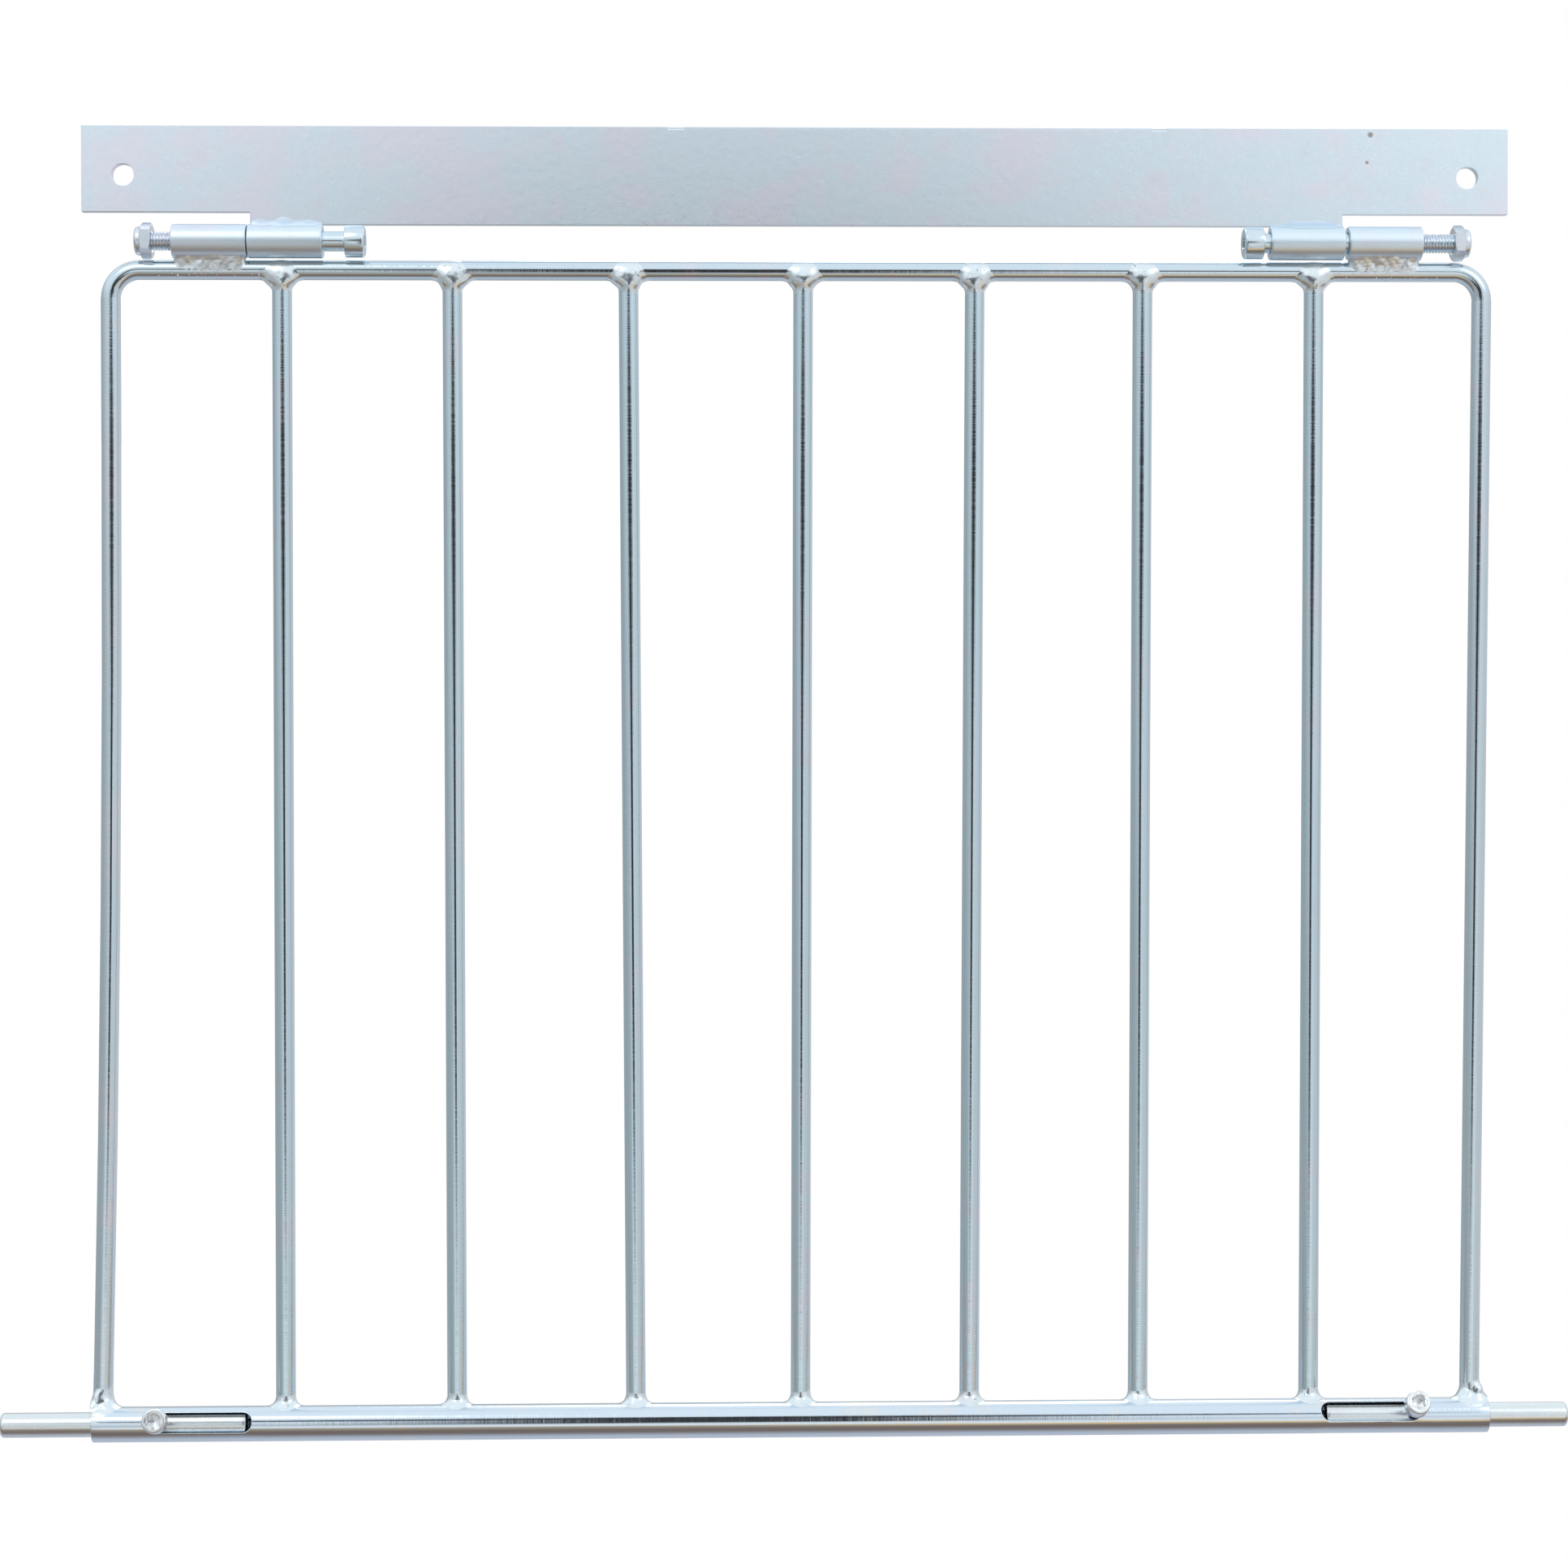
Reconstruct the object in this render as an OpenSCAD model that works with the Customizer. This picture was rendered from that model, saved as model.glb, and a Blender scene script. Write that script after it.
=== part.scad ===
// Swing-up livestock panel gate: a flat mounting strip, two pinned knuckle hinges,
// a welded bar panel and two hand-slid bolts in the bottom tube.
// Millimetres. +X runs along the strip, +Y points back, +Z up. The origin lies midway
// between the two fixing holes, on the back face of the strip.

/* [Mounting strip] */
// Length of the flat strip
strip_len = 583.6; // [570:0.1:720]
// Height of the flat strip
strip_h = 40; // [34:1:50]
// Thickness of the flat strip
strip_t = 4; // [3:0.5:6]
// Distance between the two fixing holes
hole_pitch = 550; // [440:1:560]
// Diameter of the fixing holes
hole_d = 9; // [6:0.5:12]
// Height cut away at each lower corner
corner_cut_h = 5; // [2:0.5:8]
// How far each corner cut starts inside its hinge's knuckle joint
corner_cut_lead = 0.5; // [0.5:0.5:6]
// Distances of the two edge nicks from the middle
nick_x = [-50, 148];
// Length of an edge nick
nick_len = 6.4; // [3:0.1:10]
// Depth of an edge nick
nick_depth = 0.8; // [0.3:0.1:1.5]

/* [Hinges] */
// Distance between the two knuckle joints
hinge_pitch = 448; // [360:1:480]
// Height of the hinge axis below the strip's lower edge
axis_drop = 7.5; // [6.8:0.1:9]
// Outer diameter of a knuckle
knuckle_od = 13.7; // [12:0.1:14]
// Bore of a knuckle
knuckle_id = 8.8; // [8.4:0.1:10]
// Length of a knuckle
knuckle_len = 30.2; // [24:0.1:37]
// End gap between the left hinge's knuckles
knuckle_gap_left = 0.5; // [0.3:0.1:2]
// End gap between the right hinge's knuckles
knuckle_gap_right = 1.8; // [0.3:0.1:2]

/* [Hinge screws and nuts] */
// Shank diameter of a hinge screw
screw_d = 8; // [6:0.1:8.2]
// Length of a hinge screw under its head
screw_len = 85; // [84:1:110]
// Length of the threaded end
thread_len = 28; // [20:1:40]
// Depth lost from the shank's radius at the thread
thread_relief = 0.08; // [0.04:0.01:0.2]
// Head diameter of a hinge screw
head_d = 13; // [11:0.1:13.2]
// Head height of a hinge screw
head_h = 8; // [6:0.1:10]
// Width across flats of the head's hexagon socket
socket_af = 6; // [4:0.5:7]
// Depth of the hexagon socket
socket_depth = 4; // [2:0.5:5]
// Width across flats of a lock nut
nut_af = 13; // [11:0.1:13.2]
// Height of a lock nut with its collar
nut_h = 7; // [6:0.1:9]
// Height of the lock nut's hexagon
nut_hex_h = 4.6; // [4:0.1:6]
// Outer diameter of the lock nut's collar
collar_d = 11.6; // [11.2:0.1:12]
// Outer diameter of the nylon ring
ring_d = 10; // [9.4:0.1:10.4]
// Share of the left pin's end play that lies at its head
head_play_left = 0.53; // [0.05:0.01:0.95]
// Share of the right pin's end play that lies at its head
head_play_right = 0.18; // [0.05:0.01:0.95]

/* [Panel] */
// Distance between the leg centres at the top rail
panel_w = 561; // [540:1:680]
// Offset of the panel's middle along X
panel_shift = 0.5; // [-2:0.1:2]
// Height from the top rail's centre to the bottom tube's centre
panel_h = 470; // [300:1:600]
// Diameter of the bent bar and the infill bars
bar_d = 8; // [6:0.5:8.5]
// Height of the top rail's centre below the hinge axis
rail_drop = 11.3; // [11:0.1:13]
// Bend radius of the hoop, to the bar's centre
bend_r = 11.8; // [8:0.1:30]
// Sideways lean of the straight right leg over the panel's height, foot towards -X
leg_lean = 5.2; // [0:0.1:8]
// Sideways sweep of the bowed left leg's foot, away from the panel's middle
leg_bow = 5.2; // [1:0.1:8]
// Height below the top rail at which the left leg starts to bow
bow_start = 70; // [40:1:200]
// Height of the left leg's straight foot above the bottom tube's centre
foot_h = 20; // [12:1:60]
// Number of infill bars
bar_count = 7; // [7:1:7]
// Sideways offset of each infill bar's middle from even spacing
bar_shift = [-0.7, -1.3, 1, 0.3, 0, -0.9, -0.5];
// Sideways lean of each infill bar over the panel's height, feet towards -X
bar_lean = [0, -0.6, -2, 2, 3, 2.5, 2.5];

/* [Bottom tube and bolts] */
// Length of the bottom tube
tube_len = 570.6; // [560:0.1:700]
// Offset of the bottom tube's middle along X
tube_shift = -3; // [-5:0.5:5]
// Outer diameter of the bottom tube
tube_od = 14.3; // [13.5:0.1:17.5]
// Inner diameter of the bottom tube
tube_id = 11; // [10.6:0.1:12]
// Diameter of a sliding bolt
bolt_d = 10; // [8:0.1:10.4]
// Length of a sliding bolt
bolt_len = 100; // [85:1:130]
// Distance from a bolt's outer tip to its knob
knob_from_tip = 64.6; // [50:0.1:75]
// How far the left bolt stands out of the tube
bolt_out_left = 37.4; // [20:0.1:44]
// How far the right bolt stands out of the tube
bolt_out_right = 33; // [20:0.1:44]
// Width of a slot
slot_w = 8; // [7:0.1:9]
// Length of a slot from end to end
slot_len = 41; // [30:1:50]
// Upward tilt of the left slot and knob from straight ahead
tilt_left = 16; // [0:1:40]
// Upward tilt of the right slot and knob from straight ahead
tilt_right = 28; // [0:1:40]

/* [Knob screws] */
// Thread diameter of a knob screw
knob_stem_d = 6; // [5:0.1:6.2]
// Length of a knob screw under its head
knob_len = 16; // [15:0.5:18]
// Head diameter of a knob screw
knob_head_d = 10; // [9:0.1:12]
// Head height of a knob screw
knob_head_h = 6; // [4:0.1:7]
// Height of the knob's underside above the tube's axis
knob_under = 12.6; // [11.5:0.1:13.5]
// Width across flats of the knob's hexagon socket
knob_socket_af = 5; // [3:0.5:6]

/* [Welds] */
// Radius of the bead along a strip knuckle
strip_bead_r = 3.1; // [2.6:0.1:3.6]
// Radius of the bead between a gate knuckle and the rail
rail_bead_r = 3.9; // [3.4:0.1:4.2]
// Extra radius of a weld collar where it meets the rail
collar_flare = 2.6; // [1.5:0.1:3]
// Height of a weld collar on a bar
collar_h = 5.2; // [3:0.1:8]
// Extra radius of the larger weld collars at the legs' feet
foot_flare = 2.7; // [1.5:0.1:4]
// How far a weld stands in front of a bar
weld_proud = 1.2; // [0.6:0.1:2]

/* [Hidden] */
$fn = 64;
// Gap left between a weld and what it joins, and between a thread and its hole
seat = 0.02;
// Gap between a bolt's knob and its slot's end at the locked position
stop_gap = 0.2;
// Overshoot of a cutting shape
cut = 1;
// Degrees by which a bend runs into the straights, and how much thinner its bar is
bend_lap = 1;
bend_thinning = 0.05;
bar_r = bar_d / 2;
knuckle_r = knuckle_od / 2;
strip_bottom = -strip_h / 2;
axis_y = -knuckle_r;
axis_z = strip_bottom - axis_drop;
bar_y = -bar_r;
rail_z = axis_z - rail_drop;
tube_y = -tube_od / 2;
tube_z = rail_z - panel_h;
panel_mid_z = (rail_z + tube_z) / 2;
bar_pitch = panel_w / (bar_count + 1);
// Height above the tube's centre at which the saddle cut of a bar ends
saddle_foot = tube_od / 5;
// Height below the rail's centre at which the saddle cut of an infill bar ends
saddle_top = bar_r / 2;
lean_deg = atan(leg_lean / panel_h);
// Height over which the left leg curves, above its short straight foot
bow_h = panel_h - bow_start - foot_h;
// Angle the bow turns through, its centre line's radius, and how far it runs into the straights
bow_deg = 2 * atan(leg_bow / (bow_h + 2 * foot_h));
bow_r = bow_h / sin(bow_deg);
bow_z = rail_z - bow_start;
bow_lap = 4;
foot_len = (foot_h - saddle_foot) / cos(bow_deg);
hex_factor = 2 / sqrt(3);
side_of = [-1, 1];

// Distances from the middle, the same for side -1 (left) and side 1 (right)
function gap_of(side) = side < 0 ? knuckle_gap_left : knuckle_gap_right;
function strip_knuckle_x(side) = hinge_pitch / 2 - gap_of(side) / 2 - knuckle_len;
function gate_knuckle_x(side) = hinge_pitch / 2 + gap_of(side) / 2;
function end_play(side) = screw_len - nut_h - 2 * knuckle_len - gap_of(side);
function head_play(side) = end_play(side) * (side < 0 ? head_play_left : head_play_right);
function screw_x(side) = strip_knuckle_x(side) - head_play(side);
function nut_x(side) = screw_x(side) + screw_len - nut_h;
function tube_end_x(side) = tube_len / 2 + side * tube_shift;
function bolt_out(side) = side < 0 ? bolt_out_left : bolt_out_right;
function tip_x(side) = tube_end_x(side) + bolt_out(side);
function knob_x(side) = tip_x(side) - knob_from_tip;
function slot_end_x(side) = knob_x(side) + knob_stem_d / 2 + stop_gap;
function tilt_of(side) = side < 0 ? tilt_left : tilt_right;
function bar_x(i) = panel_shift + (i - (bar_count - 1) / 2) * bar_pitch + bar_shift[i];
function foot_out(side) = side < 0 ? leg_bow : -leg_lean;
function foot_deg(side) = side < 0 ? bow_deg : lean_deg;
function foot_x(side) = panel_shift + side * (panel_w / 2 + foot_out(side));

// Places a shape modelled for the right-hand side on either side
module on_side(side) {
    mirror([side < 0 ? 1 : 0, 0, 0]) children();
}

// Turns a shape standing on +Z so that it runs outwards along the hinge axis
module on_axis(x) {
    translate([x, axis_y, axis_z]) rotate([0, 90, 0]) children();
}

// Turns a shape standing on +Z so that it runs outwards along the bottom tube
module in_tube(x) {
    translate([x, tube_y, tube_z]) rotate([0, 90, 0]) children();
}

// Turns a shape standing on +Z so that it points forwards and up out of the slot
module out_of_slot(side) {
    translate([knob_x(side), tube_y, tube_z]) rotate([90 - tilt_of(side), 0, 0]) children();
}

// Extrudes an outline drawn in Y and Z along X
module along_x(x, length) {
    translate([x, 0, 0]) rotate([90, 0, 90]) linear_extrude(length) children();
}

// Places a shape on an infill bar's line, with the origin at the panel's mid height
module on_bar(i) {
    translate([bar_x(i), bar_y, panel_mid_z])
        rotate([0, atan(bar_lean[i] / panel_h), 0]) children();
}

module hexagon(af, h) {
    cylinder(d = af * hex_factor, h = h, $fn = 6);
}

// ---- fixed strip ----

module mounting_strip() color([0.76, 0.78, 0.82]) {
    cut_x = hinge_pitch / 2 - corner_cut_lead;
    difference() {
        translate([-strip_len / 2, -strip_t, strip_bottom]) cube([strip_len, strip_t, strip_h]);
        for (side = side_of) {
            translate([side * hole_pitch / 2, cut, 0]) rotate([90, 0, 0])
                cylinder(d = hole_d, h = strip_t + 2 * cut);
            on_side(side) translate([cut_x, -strip_t - cut, strip_bottom - cut])
                cube([strip_len / 2, strip_t + 2 * cut, corner_cut_h + cut]);
        }
        for (x = nick_x) translate([x - nick_len / 2, -strip_t, strip_h / 2]) rotate([45, 0, 0])
            translate([0, -nick_depth, -nick_depth]) cube([nick_len, 2 * nick_depth, 2 * nick_depth]);
    }
}

module knuckle(x) color([0.72, 0.76, 0.8]) on_axis(x) difference() {
    cylinder(d = knuckle_od, h = knuckle_len);
    translate([0, 0, -cut]) cylinder(d = knuckle_id, h = knuckle_len + 2 * cut);
}

// Bead in the corner between the strip's lower edge and the crown of its knuckle
module strip_weld(side) color([0.66, 0.7, 0.74]) on_side(side)
    along_x(strip_knuckle_x(side) + cut, knuckle_len - 2 * cut) difference() {
        translate([-strip_t - strip_bead_r / 4, strip_bottom]) circle(r = strip_bead_r);
        translate([axis_y, axis_z]) circle(r = knuckle_r + seat);
        translate([-strip_t - seat, strip_bottom - seat]) square([2 * strip_t, strip_h]);
    }

// ---- welded panel ----

// Distance from the hoop's sharp corner to where its bend starts
function bend_tangent(lean) = bend_r / tan((90 + lean) / 2);

// Bend between the rail's left end and a leg leaning outwards by the given angle.
// It runs one degree into both straights, a little thinner than they are.
module hoop_bend(lean) {
    translate([bend_tangent(lean) - panel_w / 2, bar_y, rail_z - bend_r])
        rotate([90, 0, 0]) rotate([0, 0, 90 - bend_lap])
            rotate_extrude(angle = 90 - lean + 2 * bend_lap)
                translate([bend_r, 0]) circle(r = bar_r - bend_thinning);
}

// Straight leg from the end of its bend down to the tube, leaning outwards by the given angle
module straight_leg(lean) {
    leg_len = (panel_h - saddle_foot - bend_r + bend_r * sin(lean)) / cos(lean);
    translate([bend_tangent(lean) - panel_w / 2, bar_y, rail_z - bend_r])
        translate([-bend_r * cos(lean), 0, bend_r * sin(lean)]) rotate([0, lean, 0])
            translate([0, 0, -leg_len]) cylinder(r = bar_r, h = leg_len);
}

// Leg that drops straight from its bend, bows outwards and ends in a short leaning straight.
// The bow runs a little way into both straights, a little thinner than they are.
module bowed_leg() {
    lap_deg = asin(bow_lap / bow_r);
    translate([-panel_w / 2, bar_y, bow_z]) {
        cylinder(r = bar_r, h = rail_z - bend_r - bow_z);
        translate([-bow_r, 0, 0]) rotate([90, 0, 0]) rotate([0, 0, -bow_deg - lap_deg])
            rotate_extrude(angle = bow_deg + 2 * lap_deg)
                translate([bow_r, 0]) circle(r = bar_r - bend_thinning);
        translate([-bow_r, 0, 0]) rotate([0, bow_deg, 0]) translate([bow_r, 0, -foot_len])
            cylinder(r = bar_r, h = foot_len);
    }
}

module gate_hoop() color([0.74, 0.79, 0.84]) difference() {
    translate([panel_shift, 0, 0]) {
        rail_x = bend_tangent(0) - panel_w / 2;
        rail_len = panel_w - bend_tangent(0) - bend_tangent(-lean_deg);
        translate([rail_x, bar_y, rail_z]) rotate([0, 90, 0]) cylinder(r = bar_r, h = rail_len);
        hoop_bend(0);
        bowed_leg();
        mirror([1, 0, 0]) {
            hoop_bend(-lean_deg);
            straight_leg(-lean_deg);
        }
    }
    tube_space();
}

module infill_bar(i) color([0.74, 0.79, 0.84]) difference() {
    on_bar(i) translate([0, 0, saddle_foot - panel_h / 2])
        cylinder(r = bar_r, h = panel_h - saddle_foot - saddle_top);
    tube_space();
    rail_space();
}

// The outside of the bottom tube with the seating gap around it
module tube_space() {
    in_tube(-panel_w) cylinder(r = tube_od / 2 + seat, h = 2 * panel_w);
}

// The straight of the top rail with the seating gap around it
module rail_space() {
    translate([-panel_w / 2, bar_y, rail_z]) rotate([0, 90, 0])
        cylinder(r = bar_r + seat, h = panel_w);
}

module bottom_tube() color([0.7, 0.75, 0.8]) difference() {
    in_tube(-tube_end_x(-1)) difference() {
        cylinder(d = tube_od, h = tube_len);
        translate([0, 0, -cut]) cylinder(d = tube_id, h = tube_len + 2 * cut);
    }
    for (side = side_of) on_side(side) slot(side);
}

// Round-ended slot through the front wall of the tube
module slot(side) {
    straight = slot_len - slot_w;
    translate([slot_end_x(side) - slot_len, tube_y, tube_z])
        rotate([90 - tilt_of(side), 0, 0]) linear_extrude(tube_od) {
            translate([slot_w / 2, -slot_w / 2]) square([straight, slot_w]);
            for (x = [slot_w / 2, slot_len - slot_w / 2]) translate([x, 0]) circle(d = slot_w);
        }
}

// Bead in the valley between a gate knuckle and the top rail
module knuckle_weld(side) color([0.66, 0.7, 0.74]) on_side(side)
    along_x(gate_knuckle_x(side) + cut, knuckle_len - 2 * cut) difference() {
        translate([axis_y - rail_bead_r / 5, axis_z - knuckle_r - rail_bead_r / 7])
            circle(r = rail_bead_r);
        translate([axis_y, axis_z]) circle(r = knuckle_r + seat);
        translate([bar_y, rail_z]) circle(r = bar_r + seat);
    }

// Keeps a weld behind its proud face and in front of the panel's back plane
module weld_slab(proud) {
    translate([-panel_w, bar_y - bar_r - proud, tube_z - tube_od])
        cube([2 * panel_w, bar_d + proud, panel_h + 4 * tube_od]);
}

module rail_welds() color([0.66, 0.7, 0.74]) for (i = [0 : bar_count - 1]) difference() {
    intersection() {
        on_bar(i) translate([0, 0, panel_h / 2 - saddle_top - collar_h])
            cylinder(r1 = bar_r + seat + 0.2, r2 = bar_r + collar_flare, h = collar_h);
        weld_slab(weld_proud);
    }
    rail_space();
    on_bar(i) translate([0, 0, -panel_h]) cylinder(r = bar_r + seat, h = 2 * panel_h);
}

// Weld collar around the foot of an upright whose centre line is given by children
module foot_weld(flare) {
    difference() {
        intersection() {
            children(0);
            weld_slab(weld_proud + flare / 2);
        }
        children(1);
        tube_space();
    }
}

module foot_cone(flare) {
    cylinder(r1 = bar_r + flare, r2 = bar_r + seat + 0.2, h = tube_od / 2 + flare);
}

module tube_welds() color([0.64, 0.67, 0.7]) {
    for (i = [0 : bar_count - 1]) foot_weld(collar_flare / 1.6) {
        on_bar(i) translate([0, 0, saddle_foot - panel_h / 2]) foot_cone(collar_flare / 1.6);
        on_bar(i) translate([0, 0, -panel_h]) cylinder(r = bar_r + seat, h = 2 * panel_h);
    }
    for (side = side_of) foot_weld(foot_flare) {
        on_leg(side) translate([0, 0, saddle_foot]) foot_cone(foot_flare);
        on_leg(side) translate([0, 0, -panel_h]) cylinder(r = bar_r + seat, h = 2 * panel_h);
    }
}

// Places a shape on a leg's line, with the origin at the height of the tube's centre
module on_leg(side) {
    translate([foot_x(side), bar_y, tube_z]) rotate([0, foot_deg(side), 0]) children();
}

// ---- hinge pins ----

module hinge_screw(side) color([0.66, 0.7, 0.76]) on_side(side) on_axis(screw_x(side)) {
    thread_r = screw_d / 2 - thread_relief;
    edge = head_h / 14;
    difference() {
        rotate_extrude() polygon([
            [0, -head_h], [head_d / 2 - edge, -head_h], [head_d / 2, edge - head_h],
            [head_d / 2, 0], [screw_d / 2, 0], [screw_d / 2, screw_len - thread_len],
            [thread_r, screw_len - thread_len + thread_relief],
            [thread_r, screw_len - 2 * edge], [thread_r - edge, screw_len], [0, screw_len]
        ]);
        translate([0, 0, -head_h - cut]) hexagon(socket_af, socket_depth + cut);
    }
}

module lock_nut(side) color([0.76, 0.78, 0.8]) on_side(side) on_axis(nut_x(side)) {
    corner_r = nut_af * hex_factor / 2;
    chamfer = corner_r - nut_af / 2;
    lip = 0.5;
    difference() {
        union() {
            intersection() {
                hexagon(nut_af, nut_hex_h);
                rotate_extrude() polygon([
                    [0, 0], [nut_af / 2, 0], [corner_r, chamfer / 2],
                    [corner_r, nut_hex_h - chamfer / 2], [nut_af / 2, nut_hex_h], [0, nut_hex_h]
                ]);
            }
            rotate_extrude() polygon([
                [0, nut_hex_h - lip], [collar_d / 2, nut_hex_h - lip],
                [collar_d / 2, nut_h - 1], [collar_d / 2 - 1, nut_h], [0, nut_h]
            ]);
        }
        translate([0, 0, -cut]) cylinder(d = screw_d + 2 * seat, h = nut_h + 2 * cut);
        translate([0, 0, nut_hex_h]) cylinder(d = ring_d + 2 * seat, h = nut_h - nut_hex_h - lip);
    }
}

module nut_ring(side) color([0.9, 0.9, 0.88]) on_side(side) on_axis(nut_x(side))
    translate([0, 0, nut_hex_h + seat]) difference() {
        cylinder(d = ring_d, h = nut_h - nut_hex_h - 0.6);
        translate([0, 0, -cut]) cylinder(d = screw_d + 2 * seat, h = nut_h);
    }

// ---- sliding bolts ----

module slide_bolt(side) color([0.78, 0.8, 0.83]) on_side(side) difference() {
    tip = bolt_d / 7;
    in_tube(tip_x(side) - bolt_len) rotate_extrude() polygon([
        [0, 0], [bolt_d / 2 - 0.6, 0], [bolt_d / 2, 0.6], [bolt_d / 2, bolt_len - tip],
        [bolt_d / 2 - tip / 4, bolt_len - tip / 3], [bolt_d / 2 - tip, bolt_len], [0, bolt_len]
    ]);
    out_of_slot(side) translate([0, 0, knob_under - knob_len - seat])
        cylinder(d = knob_stem_d + 2 * seat, h = knob_len);
}

module knob_screw(side) color([0.72, 0.75, 0.78]) on_side(side) out_of_slot(side) {
    edge = knob_head_h / 12;
    difference() {
        translate([0, 0, knob_under]) rotate_extrude() polygon([
            [0, -knob_len], [knob_stem_d / 2 - edge, -knob_len],
            [knob_stem_d / 2, edge - knob_len], [knob_stem_d / 2, 0], [knob_head_d / 2, 0],
            [knob_head_d / 2, knob_head_h - edge], [knob_head_d / 2 - edge, knob_head_h],
            [0, knob_head_h]
        ]);
        translate([0, 0, knob_under + knob_head_h / 2]) hexagon(knob_socket_af, knob_head_h);
    }
}

mounting_strip();
on_side(-1) knuckle(strip_knuckle_x(-1));  // strip_knuckle_left
on_side(1) knuckle(strip_knuckle_x(1));  // strip_knuckle_right
strip_weld(-1);  // strip_weld_left
strip_weld(1);  // strip_weld_right
gate_hoop();
infill_bar(0);  // infill_bar_1
infill_bar(1);  // infill_bar_2
infill_bar(2);  // infill_bar_3
infill_bar(3);  // infill_bar_4
infill_bar(4);  // infill_bar_5
infill_bar(5);  // infill_bar_6
infill_bar(6);  // infill_bar_7
bottom_tube();
on_side(-1) knuckle(gate_knuckle_x(-1));  // gate_knuckle_left
on_side(1) knuckle(gate_knuckle_x(1));  // gate_knuckle_right
knuckle_weld(-1);  // knuckle_weld_left
knuckle_weld(1);  // knuckle_weld_right
rail_welds();
tube_welds();
hinge_screw(-1);  // hinge_screw_left
hinge_screw(1);  // hinge_screw_right
lock_nut(-1);  // lock_nut_left
lock_nut(1);  // lock_nut_right
nut_ring(-1);  // nut_ring_left
nut_ring(1);  // nut_ring_right
slide_bolt(-1);  // slide_bolt_left
slide_bolt(1);  // slide_bolt_right
knob_screw(-1);  // knob_screw_left
knob_screw(1);  // knob_screw_right
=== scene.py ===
"""Swing-up livestock panel gate in blue-passivated zinc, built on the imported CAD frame.

Every new piece is a surface worked out with numpy on a grid and written to a mesh in metres.
X runs along the strip, Y points back, Z is up. Lengths in the functions are millimetres.
"""
import math

import bmesh
import bpy
import numpy as np
from mathutils import Matrix, Vector


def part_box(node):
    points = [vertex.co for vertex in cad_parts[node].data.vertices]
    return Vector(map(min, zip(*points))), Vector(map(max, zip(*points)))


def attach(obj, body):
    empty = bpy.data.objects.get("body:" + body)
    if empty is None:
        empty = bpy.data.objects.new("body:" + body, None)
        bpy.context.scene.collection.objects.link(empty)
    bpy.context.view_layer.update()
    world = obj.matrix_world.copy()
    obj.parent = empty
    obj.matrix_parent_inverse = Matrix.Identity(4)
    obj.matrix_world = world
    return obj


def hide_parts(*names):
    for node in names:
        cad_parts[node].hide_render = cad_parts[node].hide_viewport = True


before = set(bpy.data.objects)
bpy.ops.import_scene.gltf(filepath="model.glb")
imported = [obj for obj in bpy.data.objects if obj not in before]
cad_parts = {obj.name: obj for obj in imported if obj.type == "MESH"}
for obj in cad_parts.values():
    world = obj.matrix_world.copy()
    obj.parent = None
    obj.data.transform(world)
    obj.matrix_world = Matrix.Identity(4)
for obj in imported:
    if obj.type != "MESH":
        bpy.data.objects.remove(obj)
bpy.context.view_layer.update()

MM = 0.001
back_plane = 0.0


# ---------------------------------------- places from the frame

def ends(node):
    """Lowest and highest corner of a CAD node, in millimetres."""
    low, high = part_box(node)
    return np.array(low) / MM, np.array(high) / MM


def middle(node):
    low, high = ends(node)
    return (low + high) / 2


def corners(node):
    """All vertices of a CAD node as an array, in millimetres."""
    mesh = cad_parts[node].data
    flat = np.empty(3 * len(mesh.vertices), np.float32)
    mesh.vertices.foreach_get("co", flat)
    return flat.reshape(-1, 3).astype(float) / MM


def centre_x(points):
    return (points[:, 0].min() + points[:, 0].max()) / 2


# ---------------------------------------- mesh writing

def skin(rings, loop=False, wrap=True, caps=True):
    """Vertices and faces of a grid of rings: neighbours are joined by four-sided faces, loop joins
    the last ring to the first, wrap closes each ring, and caps closes the ends with a fan."""
    rows, cols, _ = rings.shape
    row = np.arange(rows if loop else rows - 1)[:, None]
    col = np.arange(cols if wrap else cols - 1)[None, :]
    after, beside = (row + 1) % rows, (col + 1) % cols
    quads = np.stack([row * cols + col, row * cols + beside,
                      after * cols + beside, after * cols + col], -1).reshape(-1, 4)
    vertices, faces = rings.reshape(-1, 3), quads.tolist()
    if caps and not loop:
        vertices = np.vstack([vertices, rings[0].mean(0), rings[-1].mean(0)])
        here = np.arange(cols)
        there = (here + 1) % cols
        first, last = rows * cols, rows * cols + 1
        base = (rows - 1) * cols
        faces += np.stack([there, here, np.full(cols, first)], -1).tolist()
        faces += np.stack([base + here, base + there, np.full(cols, last)], -1).tolist()
    return vertices, faces


def signed_volume(vertices, faces):
    """Six times the volume inside the faces, each split into a fan: negative when they point inwards."""
    fan = np.array([(f[0], f[k], f[k + 1]) for f in faces for k in range(1, len(f) - 1)])
    a, b, c = vertices[fan[:, 0]], vertices[fan[:, 1]], vertices[fan[:, 2]]
    return float(np.einsum("ij,ij->", a, np.cross(b, c)))


def outward(part):
    vertices, faces = part
    shifted = vertices - vertices.mean(0)
    return (vertices, faces) if signed_volume(shifted, faces) > 0 else (vertices, [f[::-1] for f in faces])


def merged(parts):
    """Vertices in metres and faces of several parts, each as one list."""
    vertices, faces, start = [], [], 0
    for part_vertices, part_faces in parts:
        vertices.append(part_vertices)
        faces += [[start + i for i in face] for face in part_faces]
        start += len(part_vertices)
    return (np.vstack(vertices) * MM).tolist(), faces


def dress(mesh, crease, material):
    """Smooth shading, with edges sharper than crease kept crisp, and one material."""
    mesh.shade_smooth()
    mesh.set_sharp_from_angle(angle=math.radians(crease))
    mesh.materials.append(material)


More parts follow.
